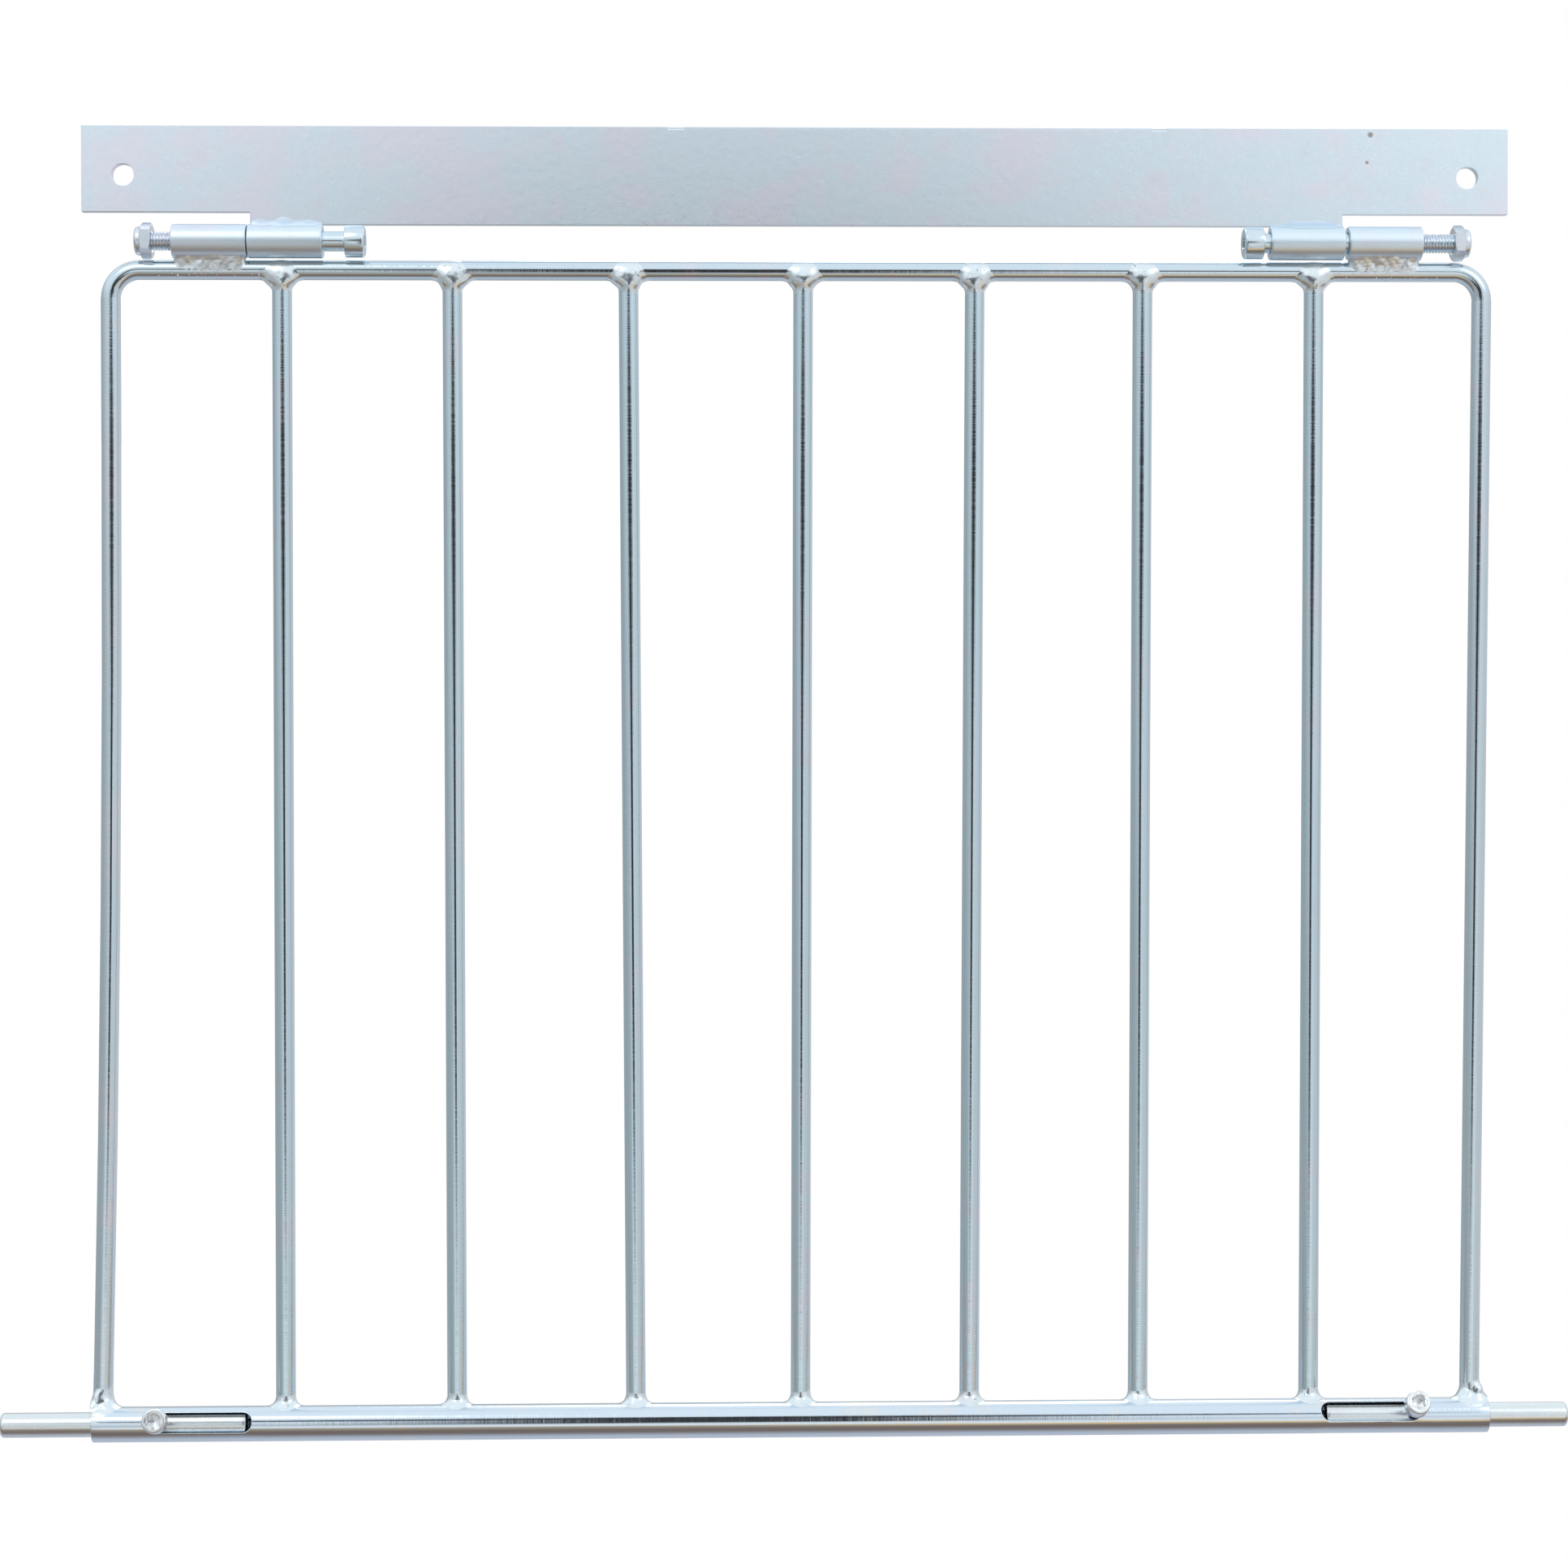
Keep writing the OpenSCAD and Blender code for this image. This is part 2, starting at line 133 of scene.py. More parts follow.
def linked(name, data):
    """New object in the scene that shows the data."""
    made = bpy.data.objects.new(name, data)
    bpy.context.scene.collection.objects.link(made)
    return made


def piece(name, parts, body, material, stands_for, crease=38):
    """One object made of closed parts, riding on a body in place of the CAD nodes it stands for."""
    vertices, faces = merged(map(outward, parts))
    mesh = bpy.data.meshes.new(name)
    mesh.from_pydata(vertices, [], faces)
    mesh.validate()
    dress(mesh, crease, material)
    made = linked(name, mesh)
    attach(made, body)
    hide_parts(*stands_for)


# ---------------------------------------- shapes

def lumps(points, size, seed):
    """Smooth noise from -1 to 1: the mean of twenty sine waves about size millimetres long in
    seeded directions."""
    rng = np.random.default_rng(seed)
    waves = rng.normal(size=(20, 3))
    lengths = np.linalg.norm(waves, axis=1, keepdims=True)
    waves *= 2 * np.pi / (size * (0.7 + 0.6 * rng.random((20, 1)))) / lengths
    phase = rng.random(20) * 2 * np.pi
    return np.sin(np.tensordot(points, waves, axes=([-1], [1])) + phase).mean(-1) * 2.2


def turn_circle(count):
    return np.arange(count) * 2 * np.pi / count


def around_x(x, radius, centre, angle):
    """Points at a radius round a line along X: y = cy + r cos, z = cz + r sin."""
    x, radius, angle = np.broadcast_arrays(x, radius, angle)
    return np.stack([x, centre[0] + radius * np.cos(angle), centre[1] + radius * np.sin(angle)], -1)


def hexagon_reach(across_flats, angle):
    """Distance from a hexagon's middle to its side: half the flats over the cosine of the angle
    from the nearest flat."""
    sector = np.pi / 3
    return across_flats / 2 / np.cos((angle + sector / 2) % sector - sector / 2)


def turned(profile, x_start, way, centre, columns=96, thread=None, loop=False):
    """A profile of (distance along, radius, hexagon across flats or 0) carried round X. The radius
    is limited by the hexagon where there is one. A thread (start, end, pitch, depth) sinks the
    radius in a helix: depth times how far the point is from the crest, fading in at the start."""
    profile = np.array(profile, float)
    angle = turn_circle(columns)[None, :]
    along, radius, flats = (profile[:, [k]] for k in range(3))
    reach = np.where(flats > 0, hexagon_reach(np.maximum(flats, 1), angle), np.inf)
    radius = np.minimum(radius, reach)
    x = x_start + way * along
    if thread:
        start, end, pitch, depth = thread
        phase = (x / pitch - angle / (2 * np.pi)) % 1
        crest = np.clip(1.25 - 2.6 * np.abs(phase - 0.5), 0, 1)
        window = np.clip((along - start) / pitch, 0, 1) * np.clip((end - along) / (pitch / 2), 0, 1)
        radius = radius - depth * window * (1 - crest)
    return skin(around_x(x, radius, centre, angle), loop=loop)


def smooth_least(a, b, blend):
    """Smooth minimum of two distances: lower than both by up to a quarter of blend where they meet."""
    h = np.clip(0.5 + 0.5 * (b - a) / blend, 0, 1)
    return b + (a - b) * h - blend * h * (1 - h)


def rod_distance(points, foot, direction, radius):
    """Distance from the side of a round bar that starts at its foot with a rounded end and runs on
    along its direction: the offset loses its share along the direction, when that is positive."""
    direction = np.array(direction, float) / np.linalg.norm(direction)
    offset = points - np.array(foot, float)
    offset = offset - np.maximum(offset @ direction, 0)[..., None] * direction
    return np.linalg.norm(offset, axis=-1) - radius


def ball_distance(points, centre, radii):
    """Rough distance from an ellipsoid: (length of the scaled offset minus one) times its mean radius."""
    scaled = (points - np.array(centre, float)) / np.array(radii, float)
    return (np.linalg.norm(scaled, axis=-1) - 1) * float(np.mean(radii))


def above_hollow(points, hollow):
    """Points over or inside a hollow along X, lifted at least to its roof: z = centre + root of
    (radius squared minus the offset in y squared)."""
    (centre_y, centre_z), radius = hollow
    across = (points[..., 1] - centre_y) / radius
    roof = centre_z + radius * np.sqrt(np.clip(1 - across ** 2, 0, 1))
    lifted = points.copy()
    lifted[..., 2] = np.where(np.abs(across) < 1, np.maximum(points[..., 2], roof), points[..., 2])
    return lifted


def star_weld(centre, field, reach, hollow=None, rows=44, columns=72):
    """Closed surface round a centre: along each direction of a sphere grid, bisection finds where
    the field changes sign, and the distance is capped at reach, which lies inside the bars. Then it
    is kept in front of the back plane and above a hollow."""
    polar = (np.arange(rows) + 0.5)[:, None] * np.pi / rows
    angle = turn_circle(columns)[None, :]
    aim = np.stack(np.broadcast_arrays(np.sin(polar) * np.cos(angle), -np.cos(polar),
                                       np.sin(polar) * np.sin(angle)), -1)
    near, far = np.full(aim.shape[:2], 0.05), np.full(aim.shape[:2], float(reach))
    for _ in range(18):
        half = (near + far) / 2
        inside = field(np.array(centre) + aim * half[..., None]) < 0
        near, far = np.where(inside, half, near), np.where(inside, far, half)
    points = np.array(centre) + aim * near[..., None]
    points[..., 1] = np.minimum(points[..., 1], back_plane - 0.02)
    if hollow:
        points = above_hollow(points, hollow)
    return points


def bar_weld(centre, bars, seed, spread, blend, nubs, swell=0.28, hollow=None, melt=1.6):
    """Weld where bars meet: their smooth union, swollen near the centre and sunk below the bars'
    surfaces at its rim, with seeded nubs melted on and fine ripples."""
    rng = np.random.default_rng(seed)
    spots = []
    for aim_x, aim_y, aim_z, size in nubs:
        jitter = rng.normal(size=3) * np.array([0.45, 0.2, 0.35])
        spots.append((np.array(centre) + np.array([aim_x, aim_y, aim_z]) + jitter,
                      size * (0.85 + 0.3 * rng.random(3))))

    def field(points):
        joined = rod_distance(points, *bars[0])
        for bar in bars[1:]:
            joined = smooth_least(joined, rod_distance(points, *bar), blend)
        for spot, radii in spots:
            joined = smooth_least(joined, ball_distance(points, spot, radii), melt)
        away = np.linalg.norm((points - centre) / spread, axis=-1)
        away = away + 0.14 * lumps(points, 5.5, seed + 5)
        ripple = 0.07 * lumps(points, 2.4, seed + 9) * np.clip(1.3 - away, 0, 1)
        return joined - np.clip(swell * (1 - away ** 2) + ripple, -0.6, 1.0)

    return star_weld(centre, field, 1.5 * max(spread), hollow)


def sections_along(x, front, inside):
    """Closed skin with one outline in (y, z) at each x: a front curve and two points inside the metal."""
    outline = np.concatenate([front, np.broadcast_to(np.array(inside), (len(x), 2, 2))], 1)
    return skin(np.concatenate([np.broadcast_to(x[:, None], outline[..., :1].shape), outline], -1))


def corner_fillet(x_from, x_to, upper, axis, radius, seed, rows=80):
    """Flat weld between the strip's face and its knuckle: across, a curve from a wandering height on
    the face, through the corner, to a point round the front of the knuckle, closed through the
    inside of both; towards both ends it shrinks into the corner."""
    t = np.linspace(0.002, 0.998, rows)[:, None]
    x = x_from + (x_to - x_from) * t
    taper = np.clip(1 - np.abs(2 * t - 1) ** 9, 0.02, 1) ** 0.5
    wander = lumps(np.concatenate([x, x * 0, x * 0], -1), 9.0, seed)[:, None]
    turn = (0.62 + 0.10 * wander) * taper
    face_y = -4.0
    top = np.stack(np.broadcast_arrays(face_y - 0.03, upper + (1.9 + 1.1 * wander) * taper), -1)
    low = np.stack([axis[0] - (radius + 0.04) * np.sin(turn), axis[1] + (radius + 0.04) * np.cos(turn)], -1)
    corner = np.array([face_y - 1.3, upper - 0.2])
    u = np.linspace(0, 1, 14)[None, :, None]
    front = (1 - u) ** 2 * top + 2 * u * (1 - u) * corner + u ** 2 * low
    return sections_along(x, front, [[axis[0] + 0.5, axis[1] + radius - 1.0], [face_y + 1.6, upper + 0.6]])


def spatter(places, sizes, steps=(5, 8)):
    """Small droplets: each a sphere grid of a few dozen faces."""
    polar = (np.arange(steps[0]) + 0.5)[:, None] * np.pi / steps[0]
    angle = turn_circle(steps[1])[None, :]
    ball = np.stack(np.broadcast_arrays(np.sin(polar) * np.cos(angle), np.sin(polar) * np.sin(angle),
                                        np.cos(polar)), -1)
    return [skin(np.array(place) + ball * size) for place, size in zip(places, sizes)]


# ---------------------------------------- shader writing

class Flow:
    """One output socket: arithmetic on it adds Math nodes."""

    def __init__(self, graph, socket):
        self.graph, self.socket = graph, socket

    def maths(self, operation, *values):
        return self.graph.node("ShaderNodeMath", {"operation": operation}, dict(enumerate(values)))

    def __add__(self, other):
        return self.maths("ADD", self, other)

    def __radd__(self, other):
        return self.maths("ADD", other, self)

    def __sub__(self, other):
        return self.maths("SUBTRACT", self, other)

    def __rsub__(self, other):
        return self.maths("SUBTRACT", other, self)

    def __mul__(self, other):
        return self.maths("MULTIPLY", self, other)

    def __rmul__(self, other):
        return self.maths("MULTIPLY", other, self)

    def __pow__(self, other):
        return self.maths("POWER", self, other)

    def between(self, low, high):
        """0 below low, 1 above high, smooth in between."""
        return self.graph.node("ShaderNodeMapRange", {"interpolation_type": "SMOOTHSTEP"},
                               {"Value": self, "From Min": low, "From Max": high})


class Graph:
    """Writes the nodes of one material or world."""

    def __init__(self, owner, fresh=True):
        owner.use_nodes = True
        self.tree = owner.node_tree
        if fresh:
            self.tree.nodes.clear()

    def node(self, kind, settings=None, inputs=None, output=0):
        made = self.tree.nodes.new(kind)
        for key, value in (settings or {}).items():
            if key == "stops":
                ramp = made.color_ramp.elements
                while len(ramp) < len(value):
                    ramp.new(0.5)
                for element, (place, colour) in zip(ramp, value):
                    element.position, element.color = place, colour
            else:
                setattr(made, key, value)
        for key, value in (inputs or {}).items():
            if isinstance(value, Flow):
                self.tree.links.new(value.socket, made.inputs[key])
            else:
                made.inputs[key].default_value = value
        return Flow(self, made.outputs[output]) if made.outputs else None

    def show(self, surface, owner="Material"):
        """Link a shader to the output of the material or world."""
        self.node(f"ShaderNodeOutput{owner}", None, {"Surface": surface})

    def mix(self, factor, first, second):
        return self.node("ShaderNodeMix", {"data_type": "RGBA"}, {0: factor, 6: first, 7: second}, 2)

    def place(self):
        return self.node("ShaderNodeTexCoord", None, None, "Object")

    def noise(self, place, scale, stretch=(1, 1, 1), detail=2.0, roughness=0.5):
        """Noise over Object coordinates, each axis multiplied by scale times its stretch, per metre."""
        scaled = self.node("ShaderNodeVectorMath", {"operation": "MULTIPLY"},
                           {0: place, 1: tuple(scale * s for s in stretch)})
        return self.node("ShaderNodeTexNoise", None,
                         {"Vector": scaled, "Scale": 1.0, "Detail": detail, "Roughness": roughness})

    def split(self, vector):
        parts = self.tree.nodes.new("ShaderNodeSeparateXYZ")
        self.tree.links.new(vector.socket, parts.inputs[0])
        return [Flow(self, parts.outputs[k]) for k in range(3)]

    def shader(self):
        return next(n for n in self.tree.nodes if n.type == "BSDF_PRINCIPLED")

    def fed(self, name):
        """What is linked to an input of the metal's shader."""
        return Flow(self, self.shader().inputs[name].links[0].from_socket)

    def feed(self, name, flow):
        self.tree.links.new(flow.socket, self.shader().inputs[name])

    def bump(self, height, distance, strength=1.0, under=None):
        inputs = {"Height": height, "Distance": distance, "Strength": strength}
        if under is not None:
            inputs["Normal"] = under
        return self.node("ShaderNodeBump", None, inputs)


def tint(r, g, b):
    return (r, g, b, 1.0)


def zinc(name, base, warm, roughness, drawn=None, drawn_height=0.0, pits=0.0, dimple=0.0,
         warm_share=0.5, speckle=0.0, grain=0.06):
    """Blue-passivated zinc. The plating drifts between a blue base and a warmer lilac or straw
    tint, roughness wanders, drawn metal has fine lines across its length that spread
    reflections along it, and pits and dimples follow the process that made the part."""
    material = bpy.data.materials.new(name)
    graph = Graph(material)
    place = graph.place()
    drift = graph.noise(place, 38, detail=3.0, roughness=0.6)
    cloud = graph.noise(place, 140, detail=4.0, roughness=0.65)
    fine = graph.noise(place, 1400, detail=2.0, roughness=0.6)
    warm_mask = (drift * 0.6 + cloud * 0.4).between(0.62 - 0.25 * warm_share, 0.80 - 0.25 * warm_share)
    colour = graph.mix(warm_mask, base, warm)
    shade = tuple(0.80 * c for c in base[:3]) + (1.0,)
    colour = graph.mix(cloud.between(0.50, 0.78) * (2.2 * grain), colour, shade)
    colour = graph.mix(fine.between(0.55, 0.75) * (2.0 * grain), colour, shade)
    rough = roughness + (cloud - 0.5) * 0.10 + (fine - 0.5) * 0.06
    normal = None
    if dimple:
        normal = graph.bump(graph.noise(place, 300, detail=3.0), dimple * MM, 1.0)
    if drawn is not None:
        stretch = tuple(1.0 if axis == drawn else 0.005 for axis in range(3))
        lines = graph.noise(place, 5200, stretch, detail=1.0, roughness=0.5)
        slow = graph.noise(place, 90, tuple(1.0 if axis == drawn else 0.35 for axis in range(3)), detail=1.0)
        normal = graph.bump(lines, drawn_height * MM, 1.0, normal)
        normal = graph.bump(slow, 0.04 * MM, 1.0, normal)
    if speckle:
        crystals = graph.node("ShaderNodeTexVoronoi", None, {"Vector": place, "Scale": 2100.0}, "Color")
        bright = graph.split(crystals)[0].between(0.70, 1.0)
        rough = rough - bright * (0.16 * speckle)
        colour = graph.mix(bright * (0.55 * speckle), colour, tint(0.97, 0.98, 1.0))
        normal = graph.bump(fine, 0.02 * MM * speckle, 1.0, normal)
    if pits:
        holes = graph.noise(place, 520, detail=2.0, roughness=0.7).between(0.60, 0.70)
        patch = graph.noise(place, 190, detail=1.0).between(0.46, 0.60)
        mask = holes * patch * pits
        colour = graph.mix(mask, colour, tint(0.16, 0.14, 0.13))
        rough = rough + mask * 0.3
        normal = graph.bump(1 - mask, 0.12 * MM, 1.0, normal)
    inputs = {"Base Color": colour, "Metallic": 1.0, "Roughness": rough.maths("MAXIMUM", rough, 0.04)}
    if normal is not None:
        inputs["Normal"] = normal
    surface = graph.node("ShaderNodeBsdfPrincipled", None, inputs)
    graph.show(surface)
    return material


def strip_zinc():
    """Satin plating of the strip: broad soft lilac patches, strongest towards the left end, grey painted
    shade in the two shallow nicks of the upper edge, which are not cut into the plate, and two small brown
    flecks near the right end."""
    material = zinc("strip_zinc_satin", tint(0.81, 0.91, 0.98), tint(0.88, 0.88, 0.96), 0.36, dimple=0.035,
                    speckle=0.5, warm_share=0.6, grain=0.08)
    graph = Graph(material, fresh=False)
    place = graph.place()
    x, _, z = graph.split(place)
    broad = graph.noise(place, 17, (1, 1, 1.4), detail=3.0, roughness=0.55)
    patch = (broad - 0.10 * x.between(-0.14, 0.08)).between(0.43, 0.62)
    colour = graph.mix(patch * 0.75, graph.fed("Base Color"), tint(0.90, 0.87, 0.96))
    # Grey marks painted as the shade inside two shallow nicks of the upper edge; no nick is cut into the
    # plate.
    for nick in (-0.050, 0.148):
        beside = (x - nick).maths("ABSOLUTE", x - nick)
        painted_nick_shade = (1 - beside.between(0.0030, 0.0037)) * z.between(0.0190, 0.0194)
        colour = graph.mix(painted_nick_shade * 0.6, colour, tint(0.42, 0.44, 0.46))
    ragged = graph.noise(place, 900, detail=2.0) * 0.0008
    for fleck_x, fleck_z, reach in ((0.2350, 0.0176, 0.0011), (0.2336, 0.0062, 0.0007)):
        away = ((x - fleck_x) ** 2.0 + (z - fleck_z) ** 2.0) ** 0.5 + ragged
        colour = graph.mix(0.85 * (1 - away.between(reach, reach + 0.0007)), colour, tint(0.34, 0.27, 0.20))
    graph.feed("Base Color", colour)
    return material


def nylon_white(name):
    """Off-white nylon ring: faint flow lines in colour and roughness."""
    material = bpy.data.materials.new(name)
    graph = Graph(material)
    flow = graph.noise(graph.place(), 700, (0.3, 1, 1), detail=3.0)
    colour = graph.mix(flow, tint(0.78, 0.79, 0.76), tint(0.88, 0.88, 0.85))
    surface = graph.node("ShaderNodeBsdfPrincipled", None, {
        "Base Color": colour, "Roughness": 0.42 + (flow - 0.5) * 0.2, "Subsurface Weight": 0.05,
        "Normal": graph.bump(flow, 0.02 * MM, 0.6)})
    graph.show(surface)
    return material


ZINC_BLUE = tint(0.71, 0.80, 0.89)
ZINC_LILAC = tint(0.77, 0.78, 0.86)
ZINC_STRAW = tint(0.78, 0.80, 0.82)

strip_finish = strip_zinc()
upright_finish = zinc("drawn_bar_zinc", tint(0.63, 0.76, 0.83), tint(0.70, 0.73, 0.82), 0.12, drawn=2,
                      drawn_height=0.022)
tube_finish = zinc("bottom_tube_zinc", ZINC_BLUE, ZINC_STRAW, 0.12, drawn=0, drawn_height=0.020)
knuckle_finish = zinc("knuckle_zinc", tint(0.78, 0.88, 0.95), tint(0.82, 0.84, 0.92), 0.40, drawn=0,
                      drawn_height=0.012, dimple=0.02)
bolt_finish = zinc("slide_bolt_zinc", tint(0.78, 0.83, 0.85), ZINC_STRAW, 0.27, drawn=0, drawn_height=0.014,
                   speckle=0.35)
screw_finish = zinc("screw_zinc", tint(0.70, 0.80, 0.86), ZINC_LILAC, 0.20, dimple=0.015)
nut_finish = zinc("nut_zinc", tint(0.78, 0.82, 0.88), ZINC_STRAW, 0.24, dimple=0.02)
knob_finish = zinc("knob_zinc", tint(0.84, 0.86, 0.88), ZINC_STRAW, 0.33, dimple=0.015, speckle=0.2)
weld_finish = zinc("weld_zinc", tint(0.80, 0.87, 0.91), ZINC_STRAW, 0.25, dimple=0.05, pits=0.6, speckle=0.5)
bright_weld_finish = zinc("bright_weld_zinc", tint(0.88, 0.94, 0.98), ZINC_STRAW, 0.42, dimple=0.05, pits=0.5,
                          speckle=0.9)
smooth_weld_finish = zinc("fillet_zinc", tint(0.68, 0.78, 0.87), ZINC_LILAC, 0.30, dimple=0.03, speckle=0.1)
ring_finish = nylon_white("nylon_ring")


# ---------------------------------------- measures of the frame

SIDES = {"left": -1, "right": 1}
bar_r = 4.0
bar_y = -bar_r
rail_z = ends("gate_hoop")[1][2] - bar_r
hinge_y, hinge_z = middle("gate_knuckle_left")[1:]
hinge_r = -hinge_y
strip_bottom = ends("mounting_strip")[0][2]
tube_low, tube_high = ends("bottom_tube")
tube_r = (tube_high[2] - tube_low[2]) / 2
tube_y, tube_z = tube_high[1] - tube_r, tube_high[2] - tube_r
tube_ends = {"left": tube_low[0], "right": tube_high[0]}

end_band = 6
bars = []
for k in range(1, 8):
    points = corners(f"infill_bar_{k}")
    low, high = points[:, 2].min(), points[:, 2].max()
    foot = centre_x(points[points[:, 2] < low + end_band])
    top = centre_x(points[points[:, 2] > high - end_band])
    bars.append((foot, top))

foot_zone, bend_drop, bend_band, leg_reach = 12, 14, 4, 270
hoop_points = corners("gate_hoop")
near_foot = hoop_points[:, 2] < tube_z + foot_zone
near_bend = np.abs(hoop_points[:, 2] - rail_z + bend_drop) < bend_band
leg_feet = {name: centre_x(hoop_points[near_foot & (hoop_points[:, 0] * way > 0)])
            for name, way in SIDES.items()}
leg_tops = {name: centre_x(hoop_points[near_bend & (hoop_points[:, 0] * way > leg_reach)])
            for name, way in SIDES.items()}


# ---------------------------------------- knuckles, screws, nuts, bolts

def along_x(node, way):
    """Start, length, centre in (y, z) and radius of a round CAD node that points outward along X."""
    low, high = ends(node)
    centre = ((low[1] + high[1]) / 2, (low[2] + high[2]) / 2)
    return low[0] if way > 0 else high[0], high[0] - low[0], centre, (high[2] - low[2]) / 2


def tube_piece(name, node, bore, body, material, edge=0.45):
    """Short tube along X with rounded rims: outside, rim, bore and rim again as one closed loop."""
    low, high = ends(node)
    radius = (high[2] - low[2]) / 2
    length = high[0] - low[0]
    t = np.linspace(0, np.pi / 2, 5)
    out_rim = [(length - edge + edge * math.sin(a), radius - edge + edge * math.cos(a), 0) for a in t]
    in_rim = [(length - edge / 2 + edge / 2 * math.cos(a), bore + edge / 2 - edge / 2 * math.sin(a), 0)
              for a in t]
    far = out_rim + in_rim
    near = [(length - along, r, 0) for along, r, _ in far[::-1]]
    body_rows = [(edge + (length - 2 * edge) * u, radius, 0) for u in np.linspace(0.02, 0.98, 12)]
    bore_rows = [(edge + (length - 2 * edge) * u, bore, 0) for u in np.linspace(0.98, 0.02, 6)]
    profile = body_rows + far + bore_rows + near
    part = turned(profile, low[0], 1, (low[1] + radius, low[2] + radius), columns=72, loop=True)
    piece(name, [part], body, material, [node], crease=50)


def hinge_pin(name, node, way, body):
    """Socket head screw: hexagon recess, chamfered head, rounded neck, plain shank and helical thread."""
    start, length, centre, outer = along_x(node, way)
    head, shank, socket, depth = 8.0, 4.0, 6.0, 4.0
    profile = [(depth + 0.9, 0.05, 0), (depth + 0.2, socket / 2 * 0.98, 0), (depth, 9, socket),
               (0.35, 9, socket), (0.0, socket / 2 * 1.22, 0), (0.0, outer - 0.95, 0),
               (0.12, outer - 0.7, 0), (0.55, outer - 0.16, 0), (0.8, outer - 0.03, 0), (1.1, outer, 0),
               (head - 0.5, outer, 0), (head - 0.15, outer - 0.1, 0), (head, outer - 0.35, 0),
               (head, shank + 0.5, 0), (head + 0.15, shank + 0.15, 0), (head + 0.5, shank, 0)]
    thread_start, thread_end = length - 28.0, length
    profile += [(u, shank, 0) for u in np.linspace(head + 1, thread_start, 10)]
    profile += [(u, shank - 0.08, 0) for u in np.arange(thread_start + 0.1, thread_end - 0.9, 0.13)]
    profile += [(thread_end - 0.8, shank - 0.08, 0), (thread_end - 0.4, shank - 0.35, 0),
                (thread_end - 0.05, shank - 0.85, 0), (thread_end, shank - 1.0, 0), (thread_end, 0.05, 0)]
    part = turned(profile, start, way, centre, thread=(thread_start, thread_end, 1.25, 0.62))
    piece(name, [part], body, screw_finish, [node])


def lock_nut(name, node, way, body):
    """Lock nut: hexagon limited by 30 degree chamfer cones, a shoulder, a barrel collar rolled over
    the ring, and a bore with a countersink."""
    start, height, centre, _ = along_x(node, way)
    flats, corner, hex_h, collar, bore = 13.0, 7.506, height - 2.4, 5.8, 4.02
    chamfer = corner - 6.3
    profile = [(0.5, bore, 0), (0.0, bore + 0.5, 0), (0.0, 6.1, 0)]
    profile += [(s * 0.577 * chamfer, 6.3 + s * chamfer, flats) for s in np.linspace(0, 1, 9)]
    profile += [(u, corner, flats) for u in np.linspace(0.9, hex_h - 0.9, 4)]
    profile += [(hex_h - s * 0.577 * chamfer, 6.3 + s * chamfer, flats) for s in np.linspace(1, 0, 9)]
    profile += [(hex_h + 0.05, 6.1, 0), (hex_h + 0.1, collar + 0.12, 0), (hex_h + 0.3, collar, 0)]
    for a in np.linspace(0, np.pi / 2, 10):
        profile.append((hex_h + 0.9 + (height - hex_h - 0.9) * math.sin(a),
                        collar - 1.35 * (1 - math.cos(a)), 0))
    profile += [(height - 0.25, collar - 1.55, 0), (height - 0.45, bore + 0.2, 0), (height - 0.7, bore, 0)]
    part = turned(profile, start, way, centre, loop=True)
    piece(name, [part], body, nut_finish, [node], crease=28)


def ring_piece(name, node, way, body):
    """Nylon ring with rounded corners, a closed loop of four rounded sides."""
    start, length, centre, outer = along_x(node, way)
    inner, r = 4.02, 0.25
    profile = []
    for along, radius, first in ((length - r, outer - r, 0), (length - r, inner + r, 1), (r, inner + r, 2),
                                 (r, outer - r, 3)):
        for a in np.linspace(0, np.pi / 2, 4) + first * np.pi / 2:
            profile.append((along + r * math.sin(a), radius + r * math.cos(a), 0))
    part = turned(profile, start, way, centre, columns=72, loop=True)
    piece(name, [part], body, ring_finish, [node])


def slide_bolt(name, node, way, seed):
    """Round bolt with a well rounded outer tip and a chamfered inner end, very slightly out of
    round: radius times one plus a small noise, never more than the bar's radius."""
    start, length, centre, radius = along_x(node, way)
    tip = 1.7
    profile = [(0.0, 0.05, 0), (0.0, radius - 0.75, 0), (0.12, radius - 0.5, 0), (0.5, radius - 0.08, 0),
               (0.75, radius, 0)]
    profile += [(u, radius, 0) for u in np.linspace(2, length - tip - 0.5, 50)]
    for a in np.linspace(0, np.pi / 2, 9):
        profile.append((length - tip + tip * math.sin(a), radius - tip + tip * math.cos(a) ** 0.9, 0))
    profile += [(length, radius * 0.4, 0), (length, 0.05, 0)]
    profile = np.array(profile)
    angle = turn_circle(72)[None, :]
    x = start + way * profile[:, [0]]
    round_bar = around_x(x, profile[:, [1]], centre, angle)
    points = around_x(x, profile[:, [1]] * (1 - 0.004 * np.abs(lumps(round_bar, 14, seed))), centre, angle)
    piece(name, [skin(points)], f"bolt_{name.split('_')[-1]}", bolt_finish, [node])


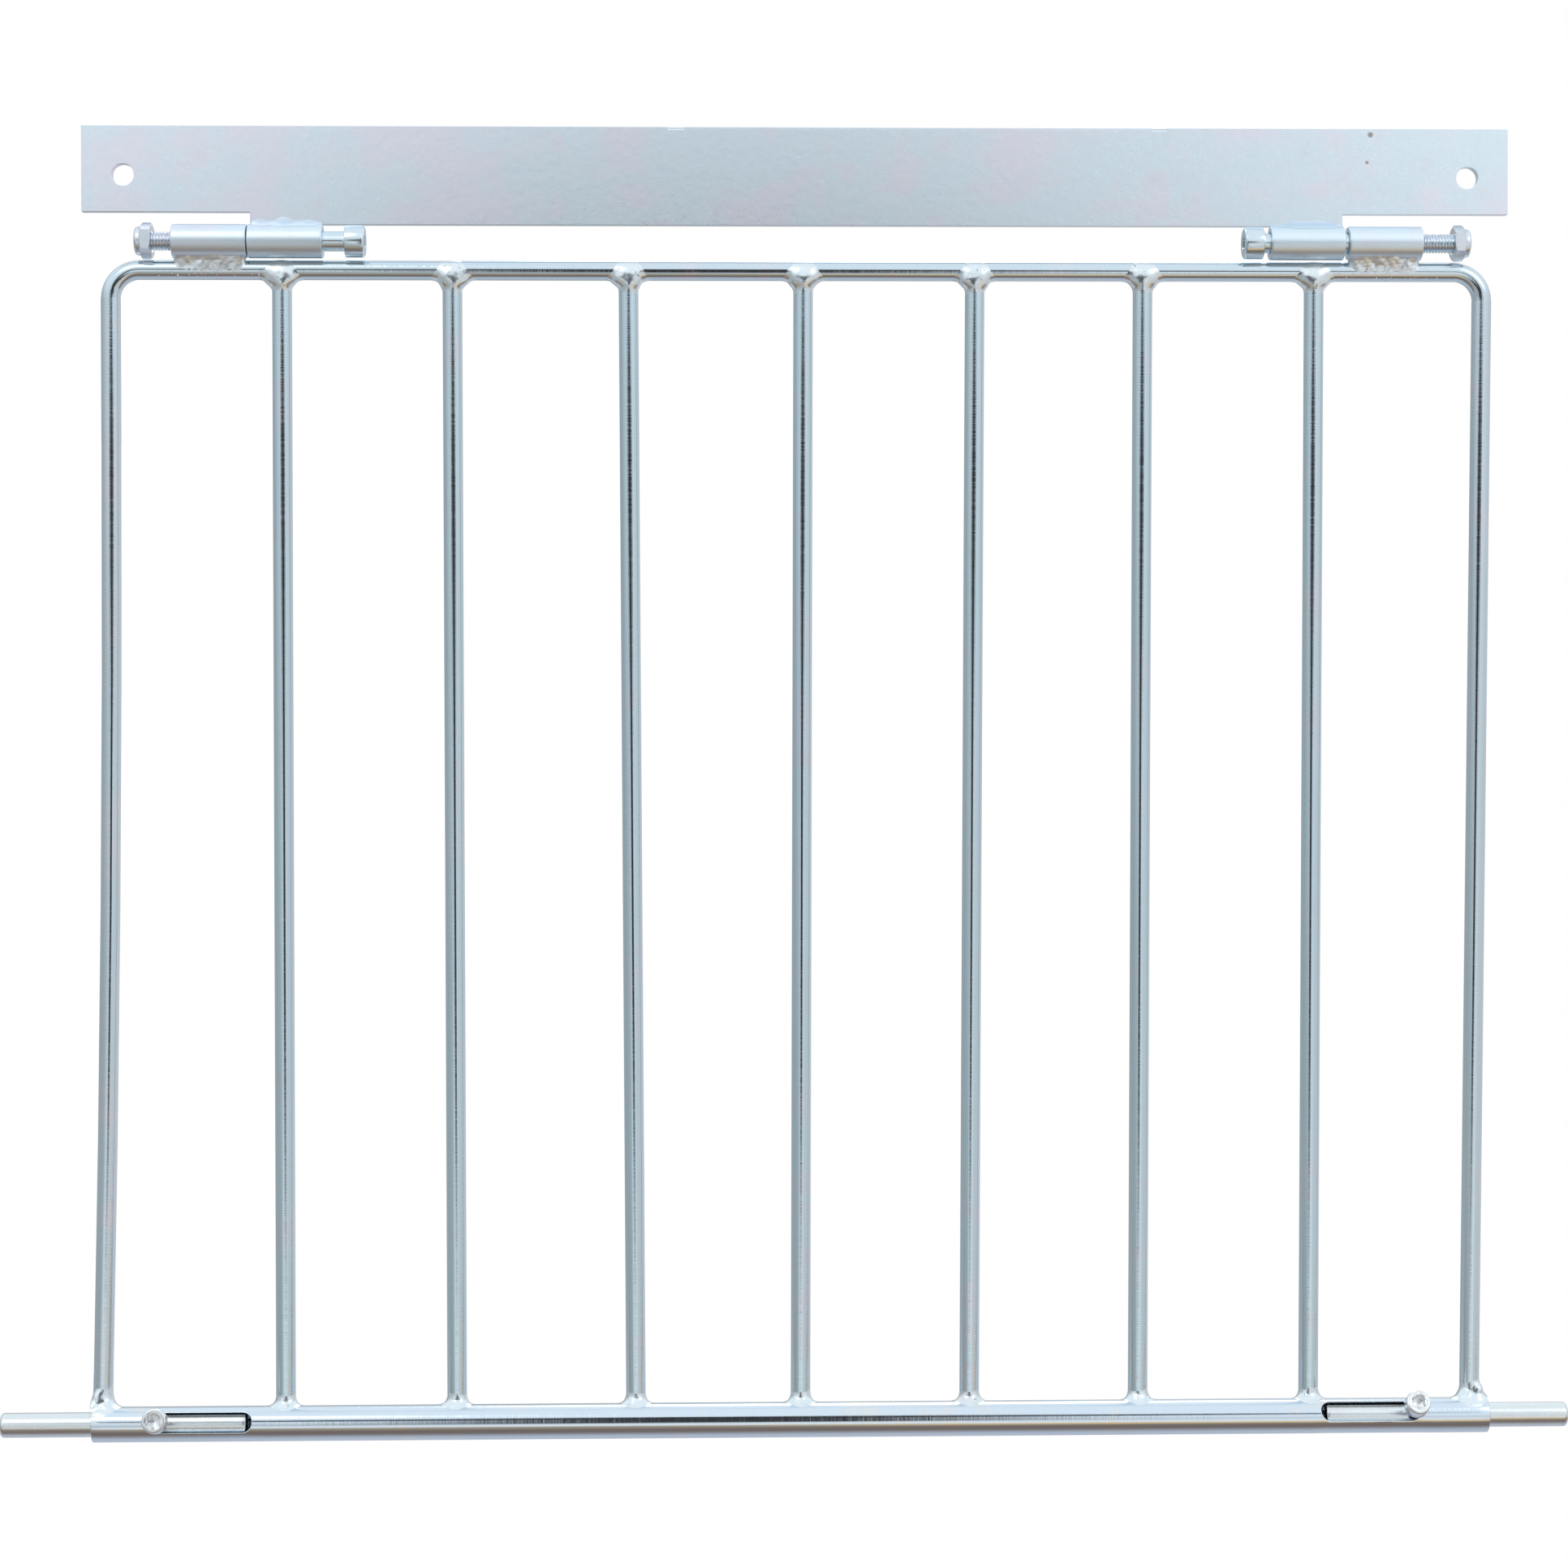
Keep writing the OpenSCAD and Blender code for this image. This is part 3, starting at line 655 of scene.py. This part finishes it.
def knob(name, node, tilt, knob_x, seed):
    """Knob screw modelled along X and turned to point out of its slot: round head with rounded
    rim, hexagon recess, neck and stem."""
    head, head_r, stem_r, length, socket, depth = 6.0, 5.0, 3.0, 16.0, 5.0, 3.0
    profile = [(head - depth - 0.7, 0.05, 0), (head - depth - 0.15, socket / 2 * 0.98, 0),
               (head - depth, 9, socket), (head - 0.3, 9, socket), (head, socket / 2 * 1.2, 0),
               (head, head_r - 1.0, 0)]
    for a in np.linspace(0, np.pi / 2, 8)[::-1]:
        profile.append((head - 0.9 + 0.9 * math.sin(a), head_r - 0.9 + 0.9 * math.cos(a), 0))
    profile += [(0.35, head_r, 0), (0.08, head_r - 0.1, 0), (0.0, head_r - 0.35, 0), (0.0, stem_r + 0.3, 0),
                (-0.3, stem_r, 0), (-length + 0.5, stem_r, 0), (-length, stem_r - 0.5, 0), (-length, 0.05, 0)]
    vertices, faces = turned(profile, 0, 1, (0, 0), columns=72)
    under = 12.6
    out = np.array([0, -math.cos(tilt), math.sin(tilt)])
    across = np.array([0, math.sin(tilt), math.cos(tilt)])
    placed = (np.array([knob_x, tube_y, tube_z]) + (vertices[:, [0]] + under) * out
              + vertices[:, [1]] * np.array([1.0, 0, 0]) + vertices[:, [2]] * across)
    piece(name, [(placed, faces)], f"bolt_{name.split('_')[-1]}", knob_finish, [node])


def slot_zone(x_from, x_to, slot_low, slot_high, half, tilt, burr_seed, ends_n, side_n):
    """Tube wall round one slot. Columns run round the slot's outline: right arc, upper side, left
    arc, lower side. Rows run from the outer wall's zone edge in to the slot's lip, over the
    rounded lip, down the wall and out again along the bore. A point is the mean of its outline
    point and its zone edge point, in (x, turn) weights, at its row's radius."""
    arc = np.linspace(-np.pi / 2, np.pi / 2, ends_n + 1)
    side = np.linspace(0, 1, side_n + 2)[1:-1]
    x_right, x_left = slot_high - half, slot_low + half
    outline_x = np.concatenate([x_right + half * np.cos(arc), x_right + (x_left - x_right) * side,
                                x_left - half * np.cos(arc), x_left + (x_right - x_left) * side])
    outline_w = np.concatenate([half * np.sin(arc), np.full(side_n, half), -half * np.sin(arc),
                                np.full(side_n, -half)])
    turn = np.linspace(-np.pi, np.pi, ends_n + 1)
    edge_x = np.concatenate([np.full(ends_n + 1, x_to), x_to + (x_from - x_to) * side,
                             np.full(ends_n + 1, x_from), x_from + (x_to - x_from) * side])
    edge_turn = np.concatenate([turn, np.full(side_n, np.pi), -turn, np.full(side_n, -np.pi)])
    lip = 0.35
    outer_steps = np.array([1, 0.85, 0.7, 0.56, 0.43, 0.32, 0.22, 0.14, 0.08, 0.045])
    rows = [(share, tube_r, 0.0) for share in outer_steps]
    rows += [(0.0, tube_r - lip * (1 - math.cos(a)), lip * (1 - math.sin(a)))
             for a in np.linspace(0, np.pi / 2, 5)]
    rows += [(0.0, bore_r + lip / 2 * (1 - math.cos(a)), lip / 2 * (1 - math.sin(a)))
             for a in np.linspace(np.pi / 2, 0, 3)]
    rows += [(share, bore_r, 0.0) for share in outer_steps[::-1][2::2]]
    rows = np.array(rows + [(1, bore_r, 0.0)])
    share, radius, grow = rows[:, [0]], rows[:, [1]], rows[:, [2]]
    ease = (half + grow) / half
    off_middle = outline_x - (x_left + x_right) / 2
    grown_x = np.where(np.abs(off_middle) > (x_right - x_left) / 2, outline_x + grow * np.sign(off_middle),
                       outline_x)
    outline_turn = np.arcsin(np.clip(outline_w * ease / radius, -1, 1))
    x = grown_x * (1 - share) + edge_x * share
    turned_by = outline_turn * (1 - share) + edge_turn * share
    near = np.clip(1 - share * 14, 0, 1) * (radius > tube_r - lip) * (outline_w < 0)
    ragged = lumps(np.stack(np.broadcast_arrays(x, turned_by * 6, x * 0), -1), 1.6, burr_seed)
    radius = radius + near * 0.12 * np.clip(ragged, 0, 1)
    angle = np.pi - tilt - turned_by
    return skin(around_x(x, radius, (tube_y, tube_z), angle), caps=False)


def tube_run(stations, tilts, radius, ends_n):
    """Rings of the tube between two zones, each turned by its tilt so that its points meet theirs."""
    turn = np.linspace(-np.pi, np.pi, ends_n + 1)[None, :]
    columns = (np.atleast_1d(v)[:, None] for v in (stations, tilts, radius))
    stations, tilts, radius = np.broadcast_arrays(*columns)
    return skin(around_x(stations, radius, (tube_y, tube_z), np.pi - tilts - turn), wrap=False, caps=False)


# Each knob's place along X and its tilt above level, from its points farthest from the tube's axis.
bore_r = 5.5
head_points = 60
KNOBS = {}
for side_name, way in SIDES.items():
    spots = corners(f"knob_screw_{side_name}")
    low, high = ends(f"knob_screw_{side_name}")
    lift = (spots - np.array([0, tube_y, tube_z]))[:, 1:]
    far = lift[np.argsort(np.linalg.norm(lift, axis=1))[-head_points:]].mean(0)
    KNOBS[side_name] = ((low[0] + high[0]) / 2, math.atan2(far[1], -far[0]))

slot_half, slot_length, slot_overrun = 4.0, 41.0, 3.2
SLOTS = {}
for side_name, way in SIDES.items():
    knob_x = KNOBS[side_name][0]
    reach = knob_x + way * slot_overrun
    SLOTS[side_name] = tuple(sorted((reach, reach - way * slot_length)))


def bottom_tube():
    """The slotted tube: two slot zones, a run between them and two ends with rounded rims, merged
    into one closed wall."""
    ends_n, side_n, margin = 40, 22, 5.0
    tilts = {name: KNOBS[name][1] for name in SIDES}
    parts = []
    zone = {}
    for seed, name in enumerate(SIDES):
        slot_low, slot_high = SLOTS[name]
        zone[name] = (slot_low - margin, slot_high + margin)
        parts.append(slot_zone(*zone[name], slot_low, slot_high, slot_half, tilts[name], 40 + seed, ends_n,
                               side_n))
    between = np.linspace(zone["left"][1], zone["right"][0], 60)
    twist = np.linspace(tilts["left"], tilts["right"], 60)
    parts.append(tube_run(between, twist, tube_r, ends_n))
    parts.append(tube_run(between, twist, bore_r, ends_n))
    rim = 0.35
    t = np.linspace(0, np.pi / 2, 5)
    for name, way in SIDES.items():
        stop = tube_ends[name]
        start = zone[name][0] if way < 0 else zone[name][1]
        run = np.linspace(start, stop - way * rim, 6)
        x = np.concatenate([run, stop - way * rim * (1 - np.sin(t[1:])),
                            stop - way * rim / 2 * (1 - np.sin(t[::-1])),
                            np.linspace(stop - way * rim, start, 6)])
        r = np.concatenate([np.full(6, tube_r), tube_r - rim * (1 - np.cos(t[1:])),
                            bore_r + rim / 2 * (1 - np.cos(t[::-1])), np.full(6, bore_r)])
        parts.append(tube_run(x, np.full(len(x), tilts[name]), r, ends_n))
    mesh = bpy.data.meshes.new("bottom_tube_wall")
    vertices, faces = merged(parts)
    mesh.from_pydata(vertices, [], faces)
    work = bmesh.new()
    work.from_mesh(mesh)
    bmesh.ops.remove_doubles(work, verts=work.verts, dist=0.00002)
    bmesh.ops.recalc_face_normals(work, faces=work.faces)
    work.to_mesh(mesh)
    work.free()
    dress(mesh, 40, tube_finish)
    made = linked("bottom_tube_wall", mesh)
    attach(made, "gate")
    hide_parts("bottom_tube")


def strip_plate():
    """Merged copy of the strip with every rim rounded by a small bevel."""
    mesh = bpy.data.meshes.new("strip_plate")
    work = bmesh.new()
    work.from_mesh(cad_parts["mounting_strip"].data)
    bmesh.ops.remove_doubles(work, verts=work.verts, dist=0.000001)
    bmesh.ops.dissolve_limit(work, angle_limit=math.radians(1), verts=work.verts, edges=work.edges)
    sharp = [e for e in work.edges if len(e.link_faces) == 2 and e.calc_face_angle(0) > math.radians(30)]
    bmesh.ops.bevel(work, geom=sharp, offset=0.00035, segments=3, profile=0.5, affect="EDGES",
                    clamp_overlap=True)
    bmesh.ops.triangulate(work, faces=[f for f in work.faces if len(f.verts) > 4])
    bmesh.ops.recalc_face_normals(work, faces=work.faces)
    work.to_mesh(mesh)
    work.free()
    mesh.materials.clear()
    dress(mesh, 32, strip_finish)
    made = linked("strip_plate", mesh)
    flat_light = made.modifiers.new("flat_faces_keep_their_light", "WEIGHTED_NORMAL")
    flat_light.weight, flat_light.keep_sharp = 100, True
    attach(made, "strip")
    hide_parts("mounting_strip")


knuckle_bore_r = 4.4
strip_plate()
bottom_tube()
for side_name, way in SIDES.items():
    for body in ("strip", "gate"):
        tube_piece(f"{body}_knuckle_tube_{side_name}", f"{body}_knuckle_{side_name}", knuckle_bore_r, body,
                   knuckle_finish)
    pin = f"hinge_pin_{side_name}"
    hinge_pin(f"socket_screw_{side_name}", f"hinge_screw_{side_name}", way, pin)
    lock_nut(f"collar_nut_{side_name}", f"lock_nut_{side_name}", way, pin)
    ring_piece(f"nylon_insert_{side_name}", f"nut_ring_{side_name}", way, pin)
    slide_bolt(f"round_bolt_{side_name}", f"slide_bolt_{side_name}", way, 60 + way)
    knob(f"knob_{side_name}", f"knob_screw_{side_name}", KNOBS[side_name][1], KNOBS[side_name][0], 70 + way)


# ---------------------------------------- welds

RAIL_LINE = ((-400.0, bar_y, rail_z), (1, 0, 0), bar_r)
TUBE_LINE = ((-400.0, tube_y, tube_z), (1, 0, 0), tube_r)
TUBE_HOLLOW = ((tube_y, tube_z), tube_r - 0.9)
BAR_RISE, BOW_RISE, LEG_RISE = 464.0, 400, 455


def rail_weld_parts():
    """Weld at the top of each infill bar: a fillet below the rail with a smooth lump on the rail's
    front, below its crown."""
    parts = []
    for k, (foot, top) in enumerate(bars):
        lean = (foot - top, 0, -BAR_RISE)
        centre = np.array([top, bar_y - 0.3, rail_z - 3.6])
        bar_line = ((top, bar_y, rail_z - 3), lean, bar_r)
        heavy = 1 if k % 2 else -1
        nubs = [(-2.2, -1.5, 0.6, 1.8), (1.9, -1.6, 0.8, 1.8), (heavy * 4.2, -0.7, 0.0, 1.9),
                (0.1, -1.9, -1.2, 1.9), (-heavy * 3.2, -1.0, -0.9, 1.6)]
        spread = np.array([7.4, 5.8, 6.4])
        parts.append(skin(bar_weld(centre, [RAIL_LINE, bar_line], 100 + 7 * k, spread, 5.0, nubs, 0.14,
                                   melt=2.8)))
    return parts


def foot_weld_parts():
    """Weld at the foot of each upright: concave fillet onto the tube's crown, kept out of the slots,
    and heavier at the legs, where it hangs a little over the tube's end."""
    parts = []
    for k, (foot, top) in enumerate(bars):
        lean = (top - foot, 0, BAR_RISE)
        centre = np.array([foot, bar_y - 0.6, tube_z + 6.6])
        lines = [TUBE_LINE, ((foot, bar_y, tube_z), lean, bar_r)]
        nubs = [(-1.6, -2.7, -0.6, 1.7), (2.0, -2.7, -0.8, 1.7), (0.2, -3.3, -1.9, 1.5)]
        spread = np.array([6.0, 5.6, 5.8])
        points = bar_weld(centre, lines, 200 + 7 * k, spread, 4.2, nubs, 0.2, TUBE_HOLLOW)
        facing = points[..., 1] < tube_y - 2.4
        for slot_low, slot_high in SLOTS.values():
            x = points[..., 0]
            clear_x = np.minimum(x, slot_low - 0.3) if foot < slot_low else np.maximum(x, slot_high + 0.3)
            points[..., 0] = np.where(facing, clear_x, x)
        parts.append(skin(points))
    for name, way in SIDES.items():
        foot = leg_feet[name]
        reach = leg_tops[name] - foot
        slope = 2 * reach / BOW_RISE if way < 0 else reach / LEG_RISE
        centre = np.array([foot + way * 0.6, bar_y - 1.2, tube_z + 5.4])
        lines = [TUBE_LINE, ((foot, bar_y, tube_z), (slope, 0, 1), bar_r)]
        nubs = [(-2.6, -2.2, 1.6, 2.0), (2.4, -2.2, 0.6, 2.1), (0.4, -3.6, -2.0, 2.3),
                (way * 1.8, -2.0, 5.4, 1.7), (way * 3.2, -0.6, 0.6, 2.4), (way * 2.8, -4.2, -4.6, 2.2),
                (-way * 2.8, -3.2, -2.0, 1.8)]
        spread = np.array([8.6, 7.2, 9.0])
        points = bar_weld(centre, lines, 300 + 9 * way, spread, 5.6, nubs, 0.3, TUBE_HOLLOW, 2.2)
        stop = tube_ends[name]
        clear = np.linalg.norm(points[..., 1:] - np.array([tube_y, tube_z]), axis=-1) - tube_r
        limit = way * stop - 0.15 + 1.1 * np.clip(clear / 1.2, 0, 1)
        points[..., 0] = way * np.minimum(way * points[..., 0], limit)
        parts.append(skin(points))
    return parts


def valley_weld(x_from, x_to, seed, rows=150):
    """Weld laid in the valley between a gate knuckle and the rail: across, a curve from a wandering
    point under the knuckle's front to one on the rail's front, closed through both walls; the
    curve is pushed out and in by lumps that fade at its two edges."""
    t = np.linspace(0.002, 0.998, rows)[:, None]
    x = x_from + (x_to - x_from) * t
    taper = np.clip(1 - np.abs(2 * t - 1) ** 7, 0.02, 1) ** 0.5
    line = np.concatenate([x, x * 0, x * 0], -1)
    above = 0.52 + 0.26 * lumps(line, 7.0, seed)[:, None]
    below = (-0.22 + 0.30 * lumps(line, 5.0, seed + 1)[:, None]) * taper + 0.9 * (1 - taper)
    top = np.stack([hinge_y - (hinge_r + 0.03) * np.sin(above * taper),
                    hinge_z - (hinge_r + 0.03) * np.cos(above * taper)], -1)
    low = np.stack([bar_y - (bar_r + 0.03) * np.cos(below), rail_z + (bar_r + 0.03) * np.sin(below)], -1)
    u = np.linspace(0, 1, 24)[None, :, None]
    valley = np.array([bar_y - 1.9, rail_z + 4.1])
    bulge = np.array([bar_y - 4.6, rail_z + 3.2])
    control = valley + (bulge - valley) * taper[..., None]
    front = (1 - u) ** 2 * top + 2 * u * (1 - u) * control + u ** 2 * low
    solid = np.concatenate([np.broadcast_to(x[:, None], front[..., :1].shape), front], -1)
    push = 0.13 * lumps(solid, 5.2, seed + 2) + 0.07 * lumps(solid, 2.1, seed + 3)
    front = valley + (front - valley) * (1 + push[..., None] * 4 * u * (1 - u) * taper[..., None])
    return sections_along(x, front, [[bar_y + 0.5, rail_z + bar_r - 1.5],
                                     [hinge_y + 0.5, hinge_z - hinge_r + 1.0]])


piece("rail_weld_beads", rail_weld_parts(), "gate", weld_finish, ["rail_welds"], crease=70)
piece("foot_weld_beads", foot_weld_parts(), "gate", weld_finish, ["tube_welds"], crease=70)

drop_count = 40
for side_name, way in SIDES.items():
    low, high = ends(f"strip_weld_{side_name}")
    piece(f"strip_fillet_{side_name}",
          [corner_fillet(low[0] - 0.4, high[0] + 0.6, strip_bottom, (hinge_y, hinge_z), hinge_r, 400 + way)],
          "strip", smooth_weld_finish, [f"strip_weld_{side_name}"], crease=70)
    low, high = ends(f"knuckle_weld_{side_name}")
    rng = np.random.default_rng(500 + way)
    drops_x = rng.uniform(low[0] - 8, high[0] + 8, drop_count)
    places = around_x(drops_x, bar_r, (bar_y, rail_z), np.pi + rng.uniform(0.1, 1.2, drop_count))
    piece(f"knuckle_bead_{side_name}",
          [valley_weld(low[0] - 0.5, high[0] + 0.3, 520 + 11 * way),
           *spatter(places, rng.uniform(0.14, 0.36, drop_count))],
          "gate", bright_weld_finish, [f"knuckle_weld_{side_name}"], crease=70)


# ---------------------------------------- finishes of the CAD's own bars

def hoop_finish():
    """Drawn bar finish whose fine lines lie across the rail above the bends and across the legs below."""
    material = zinc("drawn_hoop_zinc", tint(0.66, 0.76, 0.83), tint(0.76, 0.76, 0.82), 0.12)
    graph = Graph(material, fresh=False)
    place = graph.place()
    height = graph.split(place)[2]
    on_rail = height.between((rail_z - 12) * MM, (rail_z - 5) * MM)
    across_rail = graph.noise(place, 5200, (1, 0.005, 0.005), detail=1.0)
    across_leg = graph.noise(place, 5200, (0.005, 0.005, 1), detail=1.0)
    lines = across_rail * on_rail + across_leg * (1 - on_rail)
    slow = graph.noise(place, 90, detail=1.0)
    normal = graph.bump(lines, 0.022 * MM, 1.0, graph.bump(slow, 0.04 * MM, 1.0))
    graph.feed("Normal", normal)
    return material


for k in range(1, 8):
    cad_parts[f"infill_bar_{k}"].data.materials[0] = upright_finish
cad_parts["gate_hoop"].data.materials[0] = hoop_finish()


# ---------------------------------------- studio

def studio_world():
    """White to the camera; in reflections a bright blue-white sky above and in front, greyer to the
    left and behind."""
    world = bpy.data.worlds.new("studio")
    bpy.context.scene.world = world
    graph = Graph(world)
    x, y, z = graph.split(graph.node("ShaderNodeTexCoord", None, None, "Generated"))
    up_front = (z * 0.90 - y * 0.22).between(-0.02, 0.56)
    side = x.between(-0.06, 0.22)
    low_front = (0 - y).between(0.80, 0.97) * (0 - z).between(0.05, 0.18)
    ambient = graph.mix(side, tint(0.43, 0.46, 0.47), tint(0.68, 0.69, 0.70))
    colour = graph.mix(up_front, ambient, tint(0.92, 0.98, 1.02))
    colour = graph.mix(low_front * 0.9, colour, tint(0.95, 0.97, 0.96))
    seen = graph.node("ShaderNodeLightPath", None, None, "Is Camera Ray")
    colour = graph.mix(seen, colour, tint(1.0, 1.0, 1.0))
    background = graph.node("ShaderNodeBackground", None, {"Color": colour, "Strength": 1.0})
    graph.show(background, "World")


def flat_stage(name, corner_points, material):
    mesh = bpy.data.meshes.new(name)
    mesh.from_pydata(corner_points, [], [(0, 1, 2, 3)])
    mesh.materials.append(material)
    made = linked(name, mesh)
    return made


def floor_paint():
    """Pale floor to the eye; in the metal's reflections it glows as a painted reflection of the workshop's
    brown boards in front, darkening towards the gate as the gate's painted shadow, and grey behind."""
    material = bpy.data.materials.new("studio_floor")
    graph = Graph(material)
    x, y, _ = graph.split(graph.place())
    seen_in_metal = graph.node("ShaderNodeLightPath", None, None, "Is Glossy Ray")
    # Darker brown towards the gate: painted shadow of the gate on the boards, seen only in reflections.
    brown = graph.mix(y.between(-0.75, -0.30), tint(0.46, 0.37, 0.27), tint(0.22, 0.17, 0.145))
    orange = x.between(-0.05, 0.20) * (1 - y.between(-0.72, -0.50))
    brown = graph.mix(orange * 0.85, brown, tint(1.0, 0.68, 0.34))
    reflected = graph.mix(y.between(-0.22, 0.10), brown, tint(0.56, 0.59, 0.66))
    glow = graph.node("ShaderNodeEmission", None, {"Color": reflected, "Strength": 1.0})
    paint = graph.node("ShaderNodeBsdfDiffuse", None, {"Color": tint(0.80, 0.80, 0.79)})
    surface = graph.node("ShaderNodeMixShader", None, {0: seen_in_metal, 1: paint, 2: glow})
    graph.show(surface)
    return material


def dark_flag():
    """Soft-edged dark card in front, wide above and narrow below, seen only in the metal: it draws
    the dark line on round bars."""
    material = bpy.data.materials.new("dark_flag")
    graph = Graph(material)
    x, _, z = graph.split(graph.place())
    wide = (x.between(-0.62, -0.40) * (1 - x.between(0.36, 0.58))
            * z.between(-0.16, -0.10) * (1 - z.between(0.03, 0.09)))
    narrow = (x.between(-0.27, -0.20) * (1 - x.between(0.14, 0.21))
              * z.between(-0.62, -0.50) * (1 - z.between(0.10, 0.22)))
    cover = wide.maths("MAXIMUM", wide, narrow)
    dark = graph.node("ShaderNodeEmission", None, {"Color": tint(0.035, 0.033, 0.036), "Strength": 1.0})
    clear = graph.node("ShaderNodeBsdfTransparent")
    surface = graph.node("ShaderNodeMixShader", None, {0: cover, 1: clear, 2: dark})
    graph.show(surface)
    left, right, low, high, front = -0.80, 0.75, -0.64, 0.24, -1.0
    card = flat_stage("dark_flag", [(left, front, low), (right, front, low), (right, front, high),
                                    (left, front, high)], material)
    card.visible_camera = False
    card.visible_diffuse = False
    card.visible_shadow = False


def soft_light(name, place, size, power, colour):
    """Round lamp that faces the middle of the gate."""
    lamp = bpy.data.lights.new(name, "AREA")
    lamp.shape, lamp.size, lamp.energy, lamp.color = "DISK", size, power, colour
    made = linked(name, lamp)
    aim = np.array(gate_middle, float) - np.array(place, float)
    made.rotation_mode = "QUATERNION"
    made.rotation_quaternion = Vector(aim).to_track_quat("-Z", "Y")
    made.location = place


gate_middle = (0, 0, -0.25)
floor_side, floor_front, floor_back, floor_z = 1.7, -0.90, 1.0, -0.86
studio_world()
flat_stage("floor", [(-floor_side, floor_front, floor_z), (floor_side, floor_front, floor_z),
                     (floor_side, floor_back, floor_z), (-floor_side, floor_back, floor_z)], floor_paint())
dark_flag()
soft_light("key", (-0.9, -1.5, 1.3), 0.8, 3.2, (1.0, 0.99, 0.97))
soft_light("fill", (1.3, -1.2, 0.9), 0.9, 2.5, (0.95, 0.98, 1.0))
soft_light("back", (0.2, 1.5, 1.4), 0.9, 5.0, (1.0, 1.0, 1.0))


def level_view():
    """Camera 1.3 m in front, a little below the hinges, nearly level, with a long lens."""
    lens = bpy.data.cameras.new("view")
    lens.sensor_width, lens.lens = 36.0, 72.97
    lens.clip_start, lens.clip_end = 0.05, 50
    yaw, pitch, roll = (math.radians(v) for v in (-1.481, -0.6, 0.114))
    turn = Matrix.Rotation(yaw, 3, "Z") @ Matrix.Rotation(pitch, 3, "X") @ Matrix.Rotation(roll, 3, "Y")
    right, forward, up = (turn.col[k] for k in range(3))
    eye = (-0.0401, -1.3055, -0.2349)
    made = linked("view", lens)
    made.matrix_world = Matrix([(right[k], up[k], -forward[k], eye[k]) for k in range(3)] + [(0, 0, 0, 1)])
    bpy.context.scene.camera = made


level_view()
bpy.context.scene.view_settings.view_transform = "Standard"
